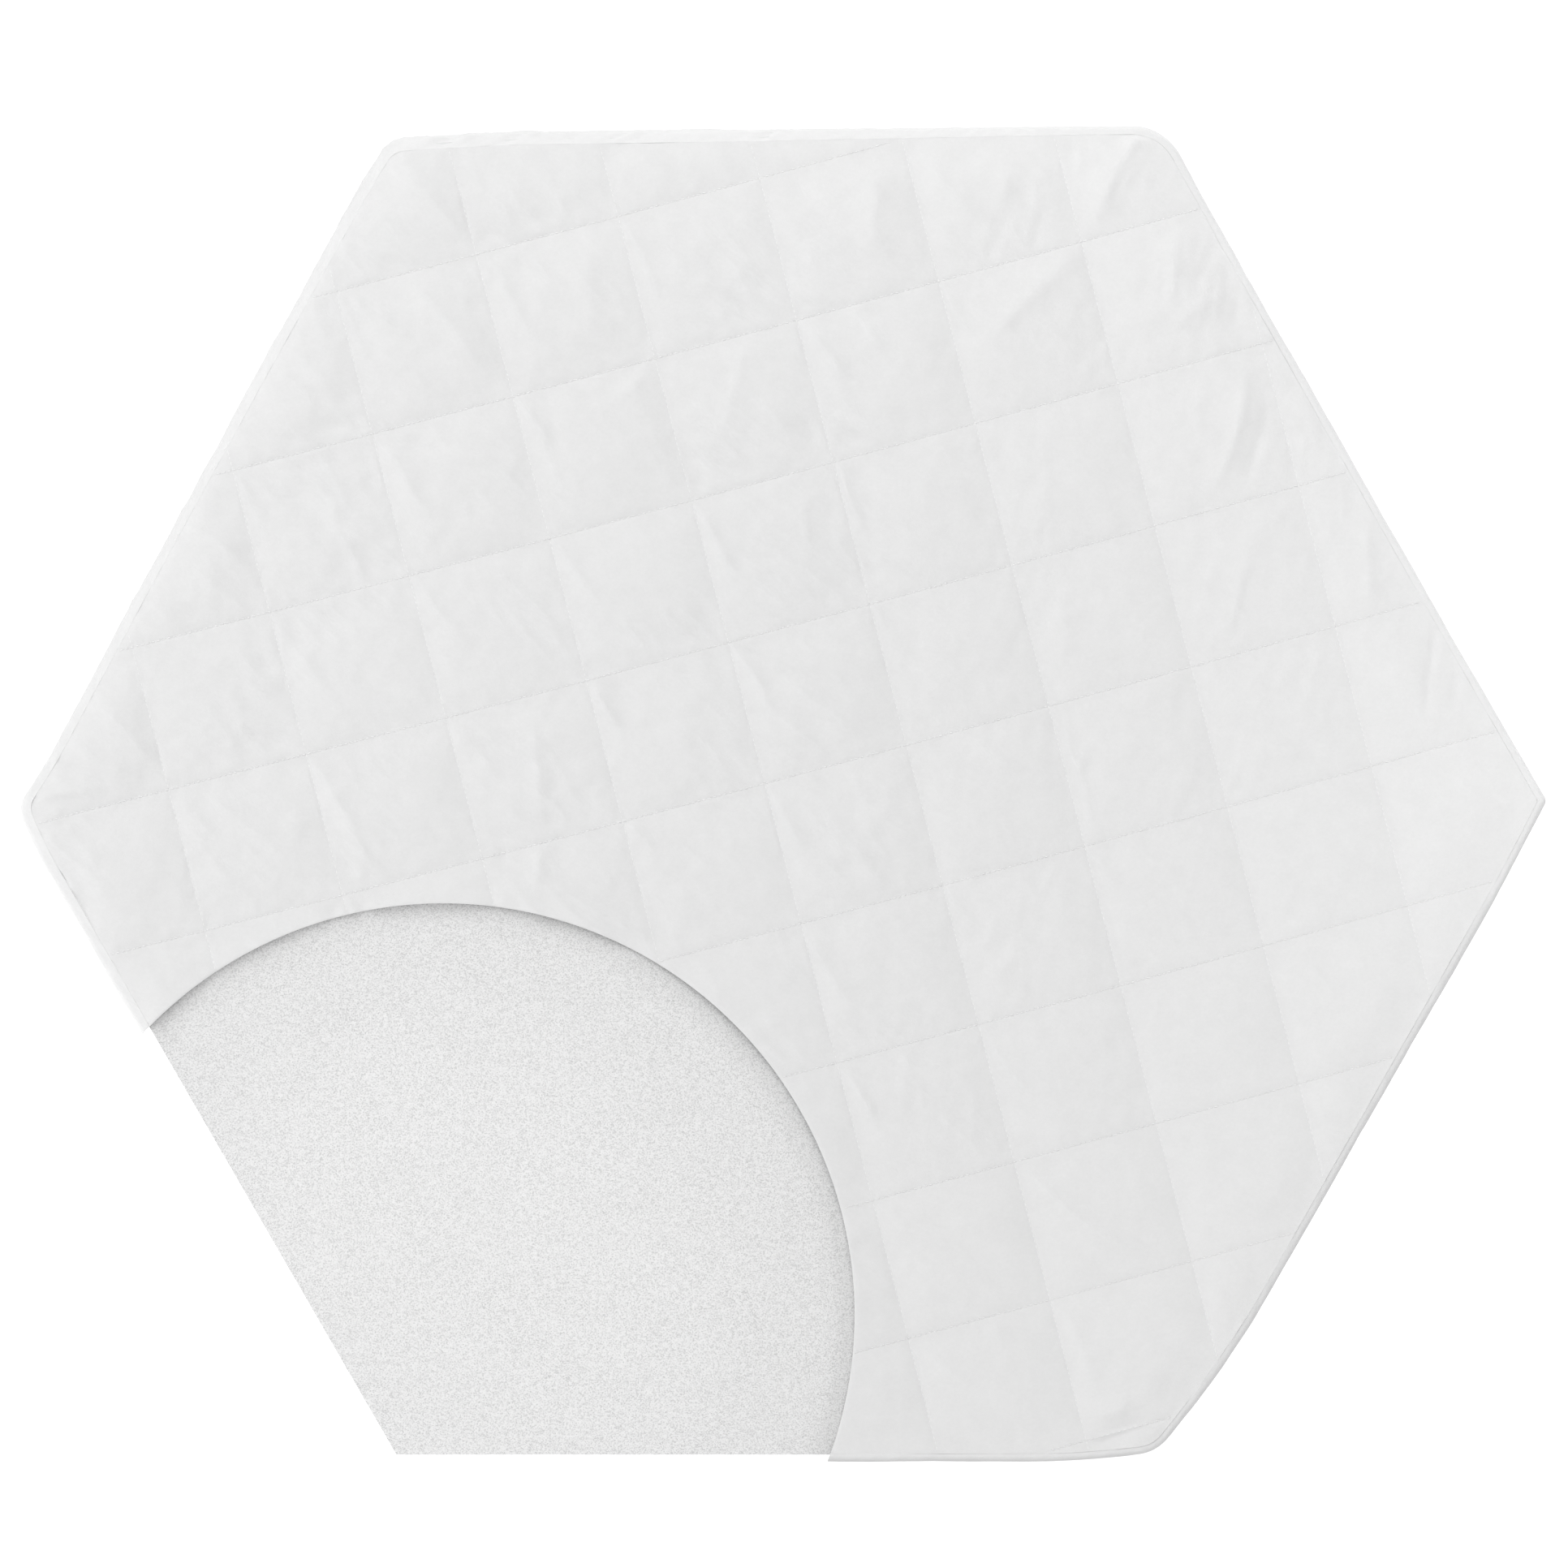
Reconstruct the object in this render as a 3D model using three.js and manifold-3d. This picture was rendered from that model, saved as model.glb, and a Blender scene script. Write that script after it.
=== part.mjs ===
// A six-sided playpen mattress: a foam slab in a quilted cover. A round piece of the cover is cut away at
// one corner, so the foam shows there. Millimetres, +Z up. The mattress lies on its back at height zero,
// two of its corners point along X, and a view straight down has +Y at its top.

import * as THREE from 'three';
import { mergeVertices } from 'three/addons/utils/BufferGeometryUtils.js';
import Module from 'manifold-3d';

const wasm = await Module();
wasm.setup();

// Layers, from the floor up
const BOTTOM_CLOTH = 2.2;
const GAP = 0.3;
const FOAM_THICK = 50;
const STITCHED_THICK = 2.4;
const SQUARE_CROWN = 5.2;

// The padded band round the sides
const BAND_DRAWN_IN = 0.8;
const BOTTOM_ROUNDING = 5.5;
const TURNED_UNDER = 9;
const TOP_ROUNDING = 12;
const TOP_ROUNDING_START = 45;

// The sides, anticlockwise from the upper right one, as the sewn cover pulls them out of true.
// facing: the way the side faces, in degrees. reach: from the centre to the side.
// swing: degrees by which it is turned, positive where its last end comes out. bow: how far its middle
// stands out. pull, over: how far the cover is drawn in at the first or last end, and over what length.
// seam: how far in from the edge the upper seam lies at each end. padding: thickness of the band there.
// round: radius of the corner after it.
const SIDES = [
  { facing: 30, reach: 508.7, swing: 0.4, bow: -1, firstPull: 0, firstOver: 100, lastPull: 0,
    lastOver: 100, firstSeam: 6, lastSeam: 6, padding: 5.5, round: 44 },
  { facing: 90, reach: 514.2, swing: -0.55, bow: 0, firstPull: 1, firstOver: 80, lastPull: 4,
    lastOver: 100, firstSeam: 6, lastSeam: 10, padding: 5.5, round: 24 },
  { facing: 150, reach: 513, swing: -1.4, bow: 1.5, firstPull: 3, firstOver: 60, lastPull: -3,
    lastOver: 50, firstSeam: 8, lastSeam: 7, padding: 5.5, round: 20 },
  { facing: 210, reach: 522.4, swing: 0, bow: 0, firstPull: 6, firstOver: 60, lastPull: 0,
    lastOver: 100, firstSeam: 8, lastSeam: 8, padding: 7.3, round: 7 },
  { facing: 270, reach: 514.2, swing: 0, bow: 0, firstPull: 0, firstOver: 100, lastPull: 8.2,
    lastOver: 100, firstSeam: 6, lastSeam: 6, padding: 4.9, round: 24 },
  { facing: 330, reach: 515.2, swing: -0.3, bow: 0, firstPull: 15, firstOver: 145, lastPull: 3.5,
    lastOver: 100, firstSeam: 6, lastSeam: 6, padding: 5.5, round: 6 },
];
const HALF_SIDE = 296;
const PULL_POWER = 1.7;
const SMALLEST_ROUND = 1;

// The quilting: squares stitched off the sides' directions, on lines that stray from an even grid
const QUILT_START = new THREE.Vector2(-153.3, 90.9);
const SQUARE_ACROSS = 113.3;
const SQUARE_DOWN = 112;
const ACROSS_TILT = 15.07;
const DOWN_TILT = 14.5;
// line: its number from the pair that cross at the start. down: how far a line that runs down the panel
// strays to the right. across: how far a line that runs across it strays down.
const STRAYS = [
  { line: -3, down: 5.6, across: -2.5 },
  { line: -2, down: 1.9, across: -1.1 },
  { line: -1, down: 0, across: 0 },
  { line: 0, down: -1.1, across: 1.3 },
  { line: 1, down: -0.9, across: 1.6 },
  { line: 2, down: -1, across: 1.3 },
  { line: 3, down: -0.5, across: 0.3 },
  { line: 4, down: 0.5, across: -1.9 },
  { line: 5, down: 2.6, across: -3.9 },
];
const ACROSS_SAG = 2.7;
const SAG_MIDDLE = 1;
const SAG_HALF_SPAN = 4;
const FIRST_SQUARE = -5;
const SQUARES = 12;
const SQUARE_CUTS = [0, 0.07, 0.24, 0.5, 0.76, 0.93];
const PILLOW_POWER = 2.4;
const UNEVENNESS = 0.3;
const EDGE_FADE = 45;
const EDGE_FLATTENING = 0.7;

// The rim of the quilted panel: how far in from the seam, and how far above it
const RIM = [
  { inward: 0, rise: -0.3 },
  { inward: 2.5, rise: 1.2 },
  { inward: 6, rise: 2.8 },
];
const ABOVE_ALL = 80;

// The round cutaway in the cover
const CUTAWAY_CENTRE = new THREE.Vector2(-264.4, -401);
const CUTAWAY_RADIUS = 317.6;
const CUTAWAY_FACETS = 120;

const SIDE_STEPS = 8;
const CORNER_STEPS = 6;

const foamBottom = BOTTOM_CLOTH + GAP;
const foamTop = foamBottom + FOAM_THICK;
const panelBottom = foamTop + GAP;
const stitchedHeight = panelBottom + STITCHED_THICK;
const cosCorner = Math.cos(Math.PI / 3);
const sinCorner = Math.sin(Math.PI / 3);

// Outline of the cover

function pulledIn(pull, over, fromEnd) {
  return pull * Math.max(0, 1 - fromEnd / over) ** PULL_POWER;
}

// Distance from the centre to a side, t along it from its middle
function sideReach(side, t) {
  const turned = t * Math.tan(THREE.MathUtils.degToRad(side.swing));
  const bowed = side.bow * (1 - (t / HALF_SIDE) ** 2);
  const first = pulledIn(side.firstPull, side.firstOver, HALF_SIDE + t);
  const last = pulledIn(side.lastPull, side.lastOver, HALF_SIDE - t);
  return side.reach + turned + bowed - first - last;
}

function outward(side) {
  const facing = THREE.MathUtils.degToRad(side.facing);
  return new THREE.Vector2(Math.cos(facing), Math.sin(facing));
}

function sidePoint(side, t, inset) {
  const out = outward(side);
  const along = new THREE.Vector2(-out.y, out.x);
  return out.multiplyScalar(sideReach(side, t) - inset).addScaledVector(along, t);
}

// Where two sides meet, as a place along each of them
function cornerBetween(side, next, inset, nextInset) {
  let onSide = HALF_SIDE;
  let onNext = -HALF_SIDE;
  for (let pass = 0; pass < 4; pass += 1) {
    const reach = sideReach(side, onSide) - inset;
    const nextReach = sideReach(next, onNext) - nextInset;
    onSide = (nextReach - reach * cosCorner) / sinCorner;
    onNext = (nextReach * cosCorner - reach) / sinCorner;
  }
  const round = Math.max(side.round - inset, SMALLEST_ROUND);
  return { onSide, onNext, cut: round * Math.tan(Math.PI / 6) };
}

// One closed loop round the mattress; inset and height are worked out for each side and the share of
// it that is passed, from 0 to 1
function ring(insetAt, heightAt) {
  const count = SIDES.length;
  const corners = SIDES.map((side, k) => {
    const next = SIDES[(k + 1) % count];
    return cornerBetween(side, next, insetAt(side, 1), insetAt(next, 0));
  });
  const straights = SIDES.map((side, k) => {
    const before = corners[(k + count - 1) % count];
    const from = before.onNext + before.cut;
    const to = corners[k].onSide - corners[k].cut;
    return Array.from({ length: SIDE_STEPS + 1 }, (_, step) => {
      const share = step / SIDE_STEPS;
      const flat = sidePoint(side, THREE.MathUtils.lerp(from, to, share), insetAt(side, share));
      return new THREE.Vector3(flat.x, flat.y, heightAt(side, share));
    });
  });
  return SIDES.flatMap((side, k) => {
    const start = straights[k].at(-1);
    const end = straights[(k + 1) % count][0];
    const tip = sidePoint(side, corners[k].onSide, insetAt(side, 1));
    const bend = new THREE.Vector3(tip.x, tip.y, (start.z + end.z) / 2);
    const curve = new THREE.QuadraticBezierCurve3(start, bend, end);
    return [...straights[k], ...curve.getPoints(CORNER_STEPS).slice(1, -1)];
  });
}

function level(inset, height) {
  return ring(() => inset, () => height);
}

// How far in from the edge the upper seam lies; it wanders over the edge quickly, then slowly
function seamInset(side, share) {
  const eased = Math.sin((share * Math.PI) / 2);
  return THREE.MathUtils.lerp(side.firstSeam, side.lastSeam, eased);
}

function roundingTurn(inset) {
  return Math.acos((TOP_ROUNDING + BAND_DRAWN_IN - inset) / TOP_ROUNDING);
}

function seamHeight(side, share) {
  return TOP_ROUNDING_START + TOP_ROUNDING * Math.sin(roundingTurn(seamInset(side, share)));
}

// Solids from loops and from plain geometry

function facesBetween(lower, upper, count) {
  const faces = [];
  for (let k = 0; k < count; k += 1) {
    const next = (k + 1) % count;
    faces.push(lower + k, lower + next, upper + next);
    faces.push(lower + k, upper + next, upper + k);
  }
  return faces;
}

function geometryOf(points, faces) {
  const geometry = new THREE.BufferGeometry().setFromPoints(points);
  geometry.setIndex(faces);
  return geometry;
}

// Loops one above the other, with a flat lid on the first and the last
function stack(rings) {
  const count = rings[0].length;
  const lid = THREE.ShapeUtils.triangulateShape(rings[0], []);
  const top = (rings.length - 1) * count;
  const faces = lid.flatMap(([a, b, c]) => [a, c, b]);
  faces.push(...lid.flatMap(([a, b, c]) => [top + a, top + b, top + c]));
  for (let k = 0; k < rings.length - 1; k += 1) {
    faces.push(...facesBetween(k * count, (k + 1) * count, count));
  }
  return geometryOf(rings.flat(), faces);
}

// Loops that go round a section and back to the first
function tubeOf(rings) {
  const count = rings[0].length;
  const faces = rings.flatMap((_, k) => {
    const next = (k + 1) % rings.length;
    return facesBetween(k * count, next * count, count);
  });
  return geometryOf(rings.flat(), faces);
}

function solidOf(geometry) {
  const bare = geometry.clone();
  bare.deleteAttribute('normal');
  bare.deleteAttribute('uv');
  const merged = mergeVertices(bare);
  return new wasm.Manifold(new wasm.Mesh({
    numProp: 3,
    vertProperties: new Float32Array(merged.attributes.position.array),
    triVerts: new Uint32Array(merged.index.array),
  }));
}

function geometryFrom(solid) {
  const mesh = solid.getMesh();
  const geometry = new THREE.BufferGeometry();
  geometry.setAttribute('position', new THREE.BufferAttribute(mesh.vertProperties, 3));
  geometry.setIndex(new THREE.BufferAttribute(mesh.triVerts, 1));
  geometry.computeVertexNormals();
  return geometry;
}

function cutaway() {
  const plug = new THREE.CylinderGeometry(
    CUTAWAY_RADIUS, CUTAWAY_RADIUS, ABOVE_ALL * 2, CUTAWAY_FACETS,
  );
  plug.rotateX(Math.PI / 2);
  plug.translate(CUTAWAY_CENTRE.x, CUTAWAY_CENTRE.y, 0);
  return solidOf(plug);
}

// Foam slab and bottom cloth

function slab(insetAt, low, high) {
  const rings = [ring(insetAt, () => low), ring(insetAt, () => high)];
  return geometryFrom(solidOf(stack(rings)));
}

function foamCore() {
  return slab((side) => side.padding + GAP, foamBottom, foamTop);
}

function bottomPanel() {
  return slab(() => TURNED_UNDER + GAP, 0, BOTTOM_CLOTH);
}

// Side band: up the outside, over the top edge to the seam, and back down the inside

function sideBand() {
  const rings = [level(TURNED_UNDER, 0)];
  const quarter = Math.PI / 2;
  for (const turn of [0, 0.33, 0.67, 1].map((share) => share * quarter)) {
    const inset = BAND_DRAWN_IN + BOTTOM_ROUNDING * (1 - Math.sin(turn));
    rings.push(level(inset, BOTTOM_ROUNDING * (1 - Math.cos(turn))));
  }
  for (const share of [0.25, 0.5, 0.75]) {
    const height = THREE.MathUtils.lerp(BOTTOM_ROUNDING, TOP_ROUNDING_START, share);
    rings.push(level(BAND_DRAWN_IN * (2 * share - 1) ** 2, height));
  }
  for (const share of [0, 0.25, 0.5, 0.75, 1]) {
    const turnAt = (side, passed) => share * roundingTurn(seamInset(side, passed));
    rings.push(ring(
      (side, passed) => BAND_DRAWN_IN + TOP_ROUNDING * (1 - Math.cos(turnAt(side, passed))),
      (side, passed) => TOP_ROUNDING_START + TOP_ROUNDING * Math.sin(turnAt(side, passed)),
    ));
  }
  rings.push(ring(seamInset, () => panelBottom));
  rings.push(ring((side) => side.padding, () => panelBottom));
  rings.push(ring((side) => side.padding, () => BOTTOM_CLOTH));
  rings.push(level(TURNED_UNDER, BOTTOM_CLOTH));
  return geometryFrom(solidOf(tubeOf(rings)).subtract(cutaway()));
}

// Quilted panel

function strayOf(kind, line) {
  const first = STRAYS[0].line;
  const place = THREE.MathUtils.clamp(line - first, 0, STRAYS.length - 1);
  const low = Math.min(Math.floor(place), STRAYS.length - 2);
  return THREE.MathUtils.lerp(STRAYS[low][kind], STRAYS[low + 1][kind], place - low);
}

// The place on the panel of a point counted in squares to the right and down from the quilt's start
function quiltPoint(right, down) {
  const across = THREE.MathUtils.degToRad(ACROSS_TILT);
  const downward = THREE.MathUtils.degToRad(DOWN_TILT);
  const rightWay = new THREE.Vector2(Math.cos(across), Math.sin(across));
  const downWay = new THREE.Vector2(Math.sin(downward), -Math.cos(downward));
  const sag = ACROSS_SAG * (1 / 3 - ((right - SAG_MIDDLE) / SAG_HALF_SPAN) ** 2);
  const alongRight = right * SQUARE_ACROSS + strayOf('down', right);
  const alongDown = down * SQUARE_DOWN + strayOf('across', down) + Math.max(sag, -ACROSS_SAG);
  return QUILT_START.clone().addScaledVector(rightWay, alongRight).addScaledVector(downWay, alongDown);
}

// How far a point lies inside the nearest seam
function insideSeam(point) {
  return Math.min(...SIDES.map((side) => {
    const out = outward(side);
    const t = point.y * out.x - point.x * out.y;
    const share = THREE.MathUtils.clamp((t + HALF_SIDE) / (2 * HALF_SIDE), 0, 1);
    return sideReach(side, t) - point.dot(out) - seamInset(side, share);
  }));
}

function pillow(share) {
  return 1 - Math.abs(2 * share - 1) ** PILLOW_POWER;
}

// A fixed scatter from -0.5 to 0.5, so that no two squares are filled alike
function scatter(column, row) {
  const mixed = Math.sin(column * 12.9898 + row * 78.233) * 43758.5453;
  return mixed - Math.floor(mixed) - 0.5;
}

function quiltHeight(right, down, point) {
  const column = Math.floor(right);
  const row = Math.floor(down);
  const filled = SQUARE_CROWN * (1 + UNEVENNESS * scatter(column, row));
  const inside = THREE.MathUtils.clamp(insideSeam(point) / EDGE_FADE, 0, 1);
  const spread = 1 - EDGE_FLATTENING * (1 - inside) ** 2;
  return stitchedHeight + filled * spread * pillow(right - column) * pillow(down - row);
}

function quiltBlock() {
  const cuts = SQUARES * SQUARE_CUTS.length;
  const block = new THREE.BoxGeometry(cuts, cuts, 2, cuts, cuts, 1);
  const places = block.attributes.position;
  const squaresAt = (cut) => {
    const square = Math.floor(cut / SQUARE_CUTS.length);
    return FIRST_SQUARE + square + SQUARE_CUTS[cut % SQUARE_CUTS.length];
  };
  for (let k = 0; k < places.count; k += 1) {
    const right = squaresAt(Math.round(places.getX(k) + cuts / 2));
    const down = squaresAt(Math.round(cuts / 2 - places.getY(k)));
    const point = quiltPoint(right, down);
    const height = places.getZ(k) > 0 ? quiltHeight(right, down, point) : 0;
    places.setXYZ(k, point.x, point.y, height);
  }
  return solidOf(block);
}

function topPanel() {
  const start = (side, passed) => seamInset(side, passed) + GAP;
  const rimRings = RIM.map(({ inward, rise }) => ring(
    (side, passed) => start(side, passed) + inward,
    (side, passed) => seamHeight(side, passed) + rise,
  ));
  const innermost = RIM.at(-1).inward;
  const rim = stack([
    ring(start, () => panelBottom),
    ...rimRings,
    ring((side, passed) => start(side, passed) + innermost, () => ABOVE_ALL),
  ]);
  return geometryFrom(quiltBlock().intersect(solidOf(rim)).subtract(cutaway()));
}

// The mattress

function piece(name, geometry, colour, roughness) {
  const material = new THREE.MeshStandardMaterial({ color: colour, roughness, metalness: 0 });
  const mesh = new THREE.Mesh(geometry, material);
  mesh.name = name;
  return mesh;
}

const mattress = new THREE.Group();
mattress.name = 'playpen_mattress';
mattress.add(
  piece('foam_core', foamCore(), 0xeeeeec, 0.95),
  piece('bottom_panel', bottomPanel(), 0xf1f1ef, 0.9),
  piece('side_band', sideBand(), 0xf4f4f2, 0.85),
  piece('top_panel', topPanel(), 0xf2f2f0, 0.85),
);

const middle = new THREE.Box3().setFromObject(mattress).getCenter(new THREE.Vector3());
mattress.position.set(-middle.x, -middle.y, 0);

export default mattress;
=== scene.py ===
# A six-sided playpen mattress, seen from straight above: a foam slab in a quilted cotton cover, with a
# round piece of the cover cut away at one corner. Shapes are worked out in millimetres in the CAD's own
# frame, +Z up and +Y at the top of the photograph, and turned to metres as each mesh is made.

import math
import random

import bpy
import numpy as np
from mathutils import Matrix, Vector, kdtree, noise
from mathutils.geometry import delaunay_2d_cdt


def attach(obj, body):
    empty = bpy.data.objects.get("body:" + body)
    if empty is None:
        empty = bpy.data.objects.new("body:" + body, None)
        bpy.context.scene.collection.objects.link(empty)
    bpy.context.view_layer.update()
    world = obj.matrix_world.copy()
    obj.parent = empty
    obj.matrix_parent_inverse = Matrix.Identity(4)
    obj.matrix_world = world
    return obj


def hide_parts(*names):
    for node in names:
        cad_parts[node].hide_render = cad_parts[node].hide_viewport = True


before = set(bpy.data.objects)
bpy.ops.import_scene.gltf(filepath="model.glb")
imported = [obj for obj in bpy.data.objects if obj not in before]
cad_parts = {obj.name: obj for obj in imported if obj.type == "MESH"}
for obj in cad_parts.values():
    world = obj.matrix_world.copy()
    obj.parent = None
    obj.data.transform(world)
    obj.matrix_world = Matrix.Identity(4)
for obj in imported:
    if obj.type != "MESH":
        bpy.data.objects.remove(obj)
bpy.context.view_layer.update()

MM = 0.001
SEED = 20

# Sizes that the source gives too

# Layers, from the floor up
BOTTOM_CLOTH = 2.2
GAP = 0.3
FOAM_THICK = 50.0
STITCHED_THICK = 2.4
SQUARE_CROWN = 5.2
FOAM_BOTTOM = BOTTOM_CLOTH + GAP
FOAM_TOP = FOAM_BOTTOM + FOAM_THICK
PANEL_BOTTOM = FOAM_TOP + GAP
STITCHED_HEIGHT = PANEL_BOTTOM + STITCHED_THICK

# The padded band round the sides
BAND_DRAWN_IN = 0.8
BOTTOM_ROUNDING = 5.5
TURNED_UNDER = 9.0

# The sides, anticlockwise from the upper right one, as the sewn cover pulls them out of true
SIDE_FACTS = (
    "facing", "reach", "swing", "bow", "first_pull", "first_over", "last_pull", "last_over",
    "first_seam", "last_seam", "padding", "round",
)
SIDES = [dict(zip(SIDE_FACTS, row)) for row in (
    (30, 508.7, 0.4, -1, 0, 100, 0, 100, 6, 6, 5.5, 44),
    (90, 514.2, -0.55, 0, 1, 80, 4, 100, 6, 10, 5.5, 24),
    (150, 513, -1.4, 1.5, 3, 60, -3, 50, 8, 7, 5.5, 20),
    (210, 522.4, 0, 0, 6, 60, 0, 100, 8, 8, 7.3, 7),
    (270, 514.2, 0, 0, 0, 100, 8.2, 100, 6, 6, 4.9, 24),
    (330, 515.2, -0.3, 0, 15, 145, 3.5, 100, 6, 6, 5.5, 6),
)]
HALF_SIDE = 296.0
PULL_POWER = 1.7
SMALLEST_ROUND = 1.0
STRAIGHT_SHARE = 0.9  # of the count for one side, the corner after it has the rest

# The quilting
QUILT_START = np.array([-153.3, 90.9])
SQUARE_ACROSS = 113.3
SQUARE_DOWN = 112.0
ACROSS_TILT = math.radians(15.07)
DOWN_TILT = math.radians(14.5)
STRAY_LINES = [-3, -2, -1, 0, 1, 2, 3, 4, 5]
STRAYS = {
    "down": [5.6, 1.9, 0, -1.1, -0.9, -1, -0.5, 0.5, 2.6],
    "across": [-2.5, -1.1, 0, 1.3, 1.6, 1.3, 0.3, -1.9, -3.9],
}
ACROSS_SAG = 2.7
SAG_MIDDLE = 1.0
SAG_HALF_SPAN = 4.0
PILLOW_POWER = 2.4
UNEVENNESS = 0.3
EDGE_FADE = 45.0
EDGE_FLATTENING = 0.7

# The round cutaway in the cover
CUTAWAY_CENTRE = np.array([-264.4, -401.0])
CUTAWAY_RADIUS = 317.6

# Sizes that only the looks need

FIRST_SQUARE = -5
SQUARES = 12
LINE_OFFSETS = (0, 0.9, 2.0, 3.4, 5.2, 7.4)  # grid lines beside a stitched line, in mm from it
OPEN_STEP = 2.5  # and between them
LOOP_STEP = 2.2
ROUGH_POINTS = 4001  # on a loop that is only measured
RIM_ROWS = (0.9, 1.9)  # rows of points inside the panel's edge
RIM_CLEAR = 2.9
BITE_ANGLES = np.linspace(-0.45, math.pi + 0.1, 500)  # round the cutaway, as far as the panel reaches
CUT_WALL_SHARES = (0.12, 0.3, 0.5, 0.7, 0.88)  # rows of points down the panel's wall, from its top
ON_CUT = 0.2  # how close to the cutaway a wall's middle is where it shows the wadding
SHARP_ANGLE = math.radians(50)
SHARP_ANGLE_OF_BAND = math.radians(60)

# How each side's upper edge looks: the radius of its rounding, the angle at which the cloth then climbs
# to the seam, how far it lifts off the padding, the distance over which the panel rises from its seam,
# how high the panel swells there, which hides the seam, and how deep the seam is tucked in
EDGE_FACTS = ("radius", "lean", "lift", "rise_over", "swell", "tuck")
for side, edge_facts in zip(SIDES, (
    (2.5, 5.0, 2.5, 50.0, 0.3, 0.1), (3.0, 36.0, 0.3, 26.0, 0.0, 0.3), (4.0, 38.0, 0.2, 40.0, 3.5, 0.1),
    (5.0, 25.0, 1.5, 20.0, 2.4, 0.1), (4.5, 12.0, 1.4, 44.0, 0.3, 0.06), (5.0, 28.0, 1.8, 30.0, 0.3, 0.06),
)):
    side.update(zip(EDGE_FACTS, edge_facts))
for side_before, side in zip(SIDES[-1:] + SIDES[:-1], SIDES):
    for fact in EDGE_FACTS:
        side_before[fact + "_end"] = side[fact + "_start"] = (side_before[fact] + side[fact]) / 2
CORNER_SHARE = 0.2  # of a side, over which its edge turns into the next one's
PADDING_CLEAR = 0.3  # between the panel's underside and the band where they pass over the padding
RISE_POWER = 1.8
EDGE_CLEAR = 0.06  # between the band and the panel, which are sewn together
SWELL_OVER = 6.0
SWELL_FADES = 45.0
SEAM_DIP_OVER = 1.8
SEAM_HOLDS = 5.0  # how far in from the seam the folds fade out
# The squares stand higher to the right, where the lines that run across hold them down less
CROWN_SHARES = (0.85, 1.3)
CROWN_FROM = -400.0
CROWN_OVER = 750.0
HELD_SHARES = (1.15, 0.45)
HELD_WAY = np.array([0.97, -0.24])
HELD_FROM = -350.0
HELD_OVER = 750.0
STEEP_POWER = 3.0  # beside the lines that run down, which pull harder
CUT_EDGE_DIP = 0.9
CUT_EDGE_OVER = 0.8
CUT_LIP = 2.0  # by which the cut edge curls up at its upper left
CUT_LIP_OVER = 10.0
CUT_LIP_POWER = 1.2
LIFTED_FROM, LIFTED_OVER = 55.0, 40.0  # the same place, in degrees round the cutaway from +X
NOTCH_DEPTH = 0.22  # the stitched thread's own groove
NOTCH_WIDTH = 1.5
NOTCH_POWER = 1.5
LINE_HOLDS = 3.0  # how far from a stitched line the cloth is held flat
GROOVE_SHADE = "painted_groove_shade"  # painted shade in the grooves of the stitched lines: from 1 on a stitched line down to 0 beside it
GROOVE_SHADE_OVER = 6.0
GROOVE_SHADE_DEPTH = 0.012  # how dark the painted groove shade is on a stitched line
FOLD_RELIEF = 2.1
FOLD_CREST, FOLD_FLANK = 0.35, 0.62  # of a fold's half width
FOLD_PAST, FOLD_ASIDE = 3, 4  # half widths past its ends and aside from it, as far as it is worked out
FOLD_BEND = 0.12  # most that a fold bends aside, as a share of its length, for a whole scatter
# How far folds reach past their start and end, and over what length they rise there, as shares of their run
FOLD_ENDS = (0.12, 0.12, 0.4, 0.5)
SMALL_FOLD_ENDS = (0.05, 0.1, 0.25, 0.6)
# Small folds that run down and right from where the lines cross: least and most of what is drawn for each
SMALL_FOLD_START = 0.03  # in squares, as the next two are
SMALL_FOLD_LEAN = (0.08, 0.2)
SMALL_FOLD_DROP = (0.35, 0.7)
SMALL_FOLD_HEIGHT = (0.3, 1.3)
SMALL_FOLD_HALF_WIDTH = (5, 9)
# Puckers that the thread draws up beside the stitched lines
PUCKER_HEIGHT = 0.5
PUCKER_SPACING = 5.5
PUCKER_FROM = 2.0
PUCKER_FADES = 7.0
PUCKER_RUN = 20.0
PUCKER_SHIFT = 40.0  # between the two sides of a line, so that they aren't alike
NOISE_SPREAD = 1.6  # brings Blender's noise to about -1 to 1
SIDE_MIDDLE = 0.45  # of the count for one side
SIDE_LENGTH = 617.0  # with its corner
# Puckers at the seams: mm of height at the middle of each side, and their sizes
SEAM_PUCKERS = [0.2, 0.6, 0.8, 0.3, 0.2, 0.55]
SEAM_PUCKER_SPACING = 12.0
SEAM_PUCKER_FROM = 3.0
SEAM_PUCKER_FADES = 13.0
SEAM_PUCKER_SLANT = 30.0
SEAM_PUCKER_RUN = 40.0
# Lumps in the wadding: height and size in mm, seed, and whether they are hollows with creased edges
WADDING_LUMPS = [(0.3, 19.0, 5.5, False), (-0.55, 17.0, 2.5, True), (0.12, 7.0, 9.5, False)]
# The panel lies calmer to the right of and below this place
CALM_FROM = np.array([250.0, -40.0])
CALM_WAY = np.array([0.8, -0.6])
CALM_OVER = 200.0
CALM_SHARE = 0.65
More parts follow.
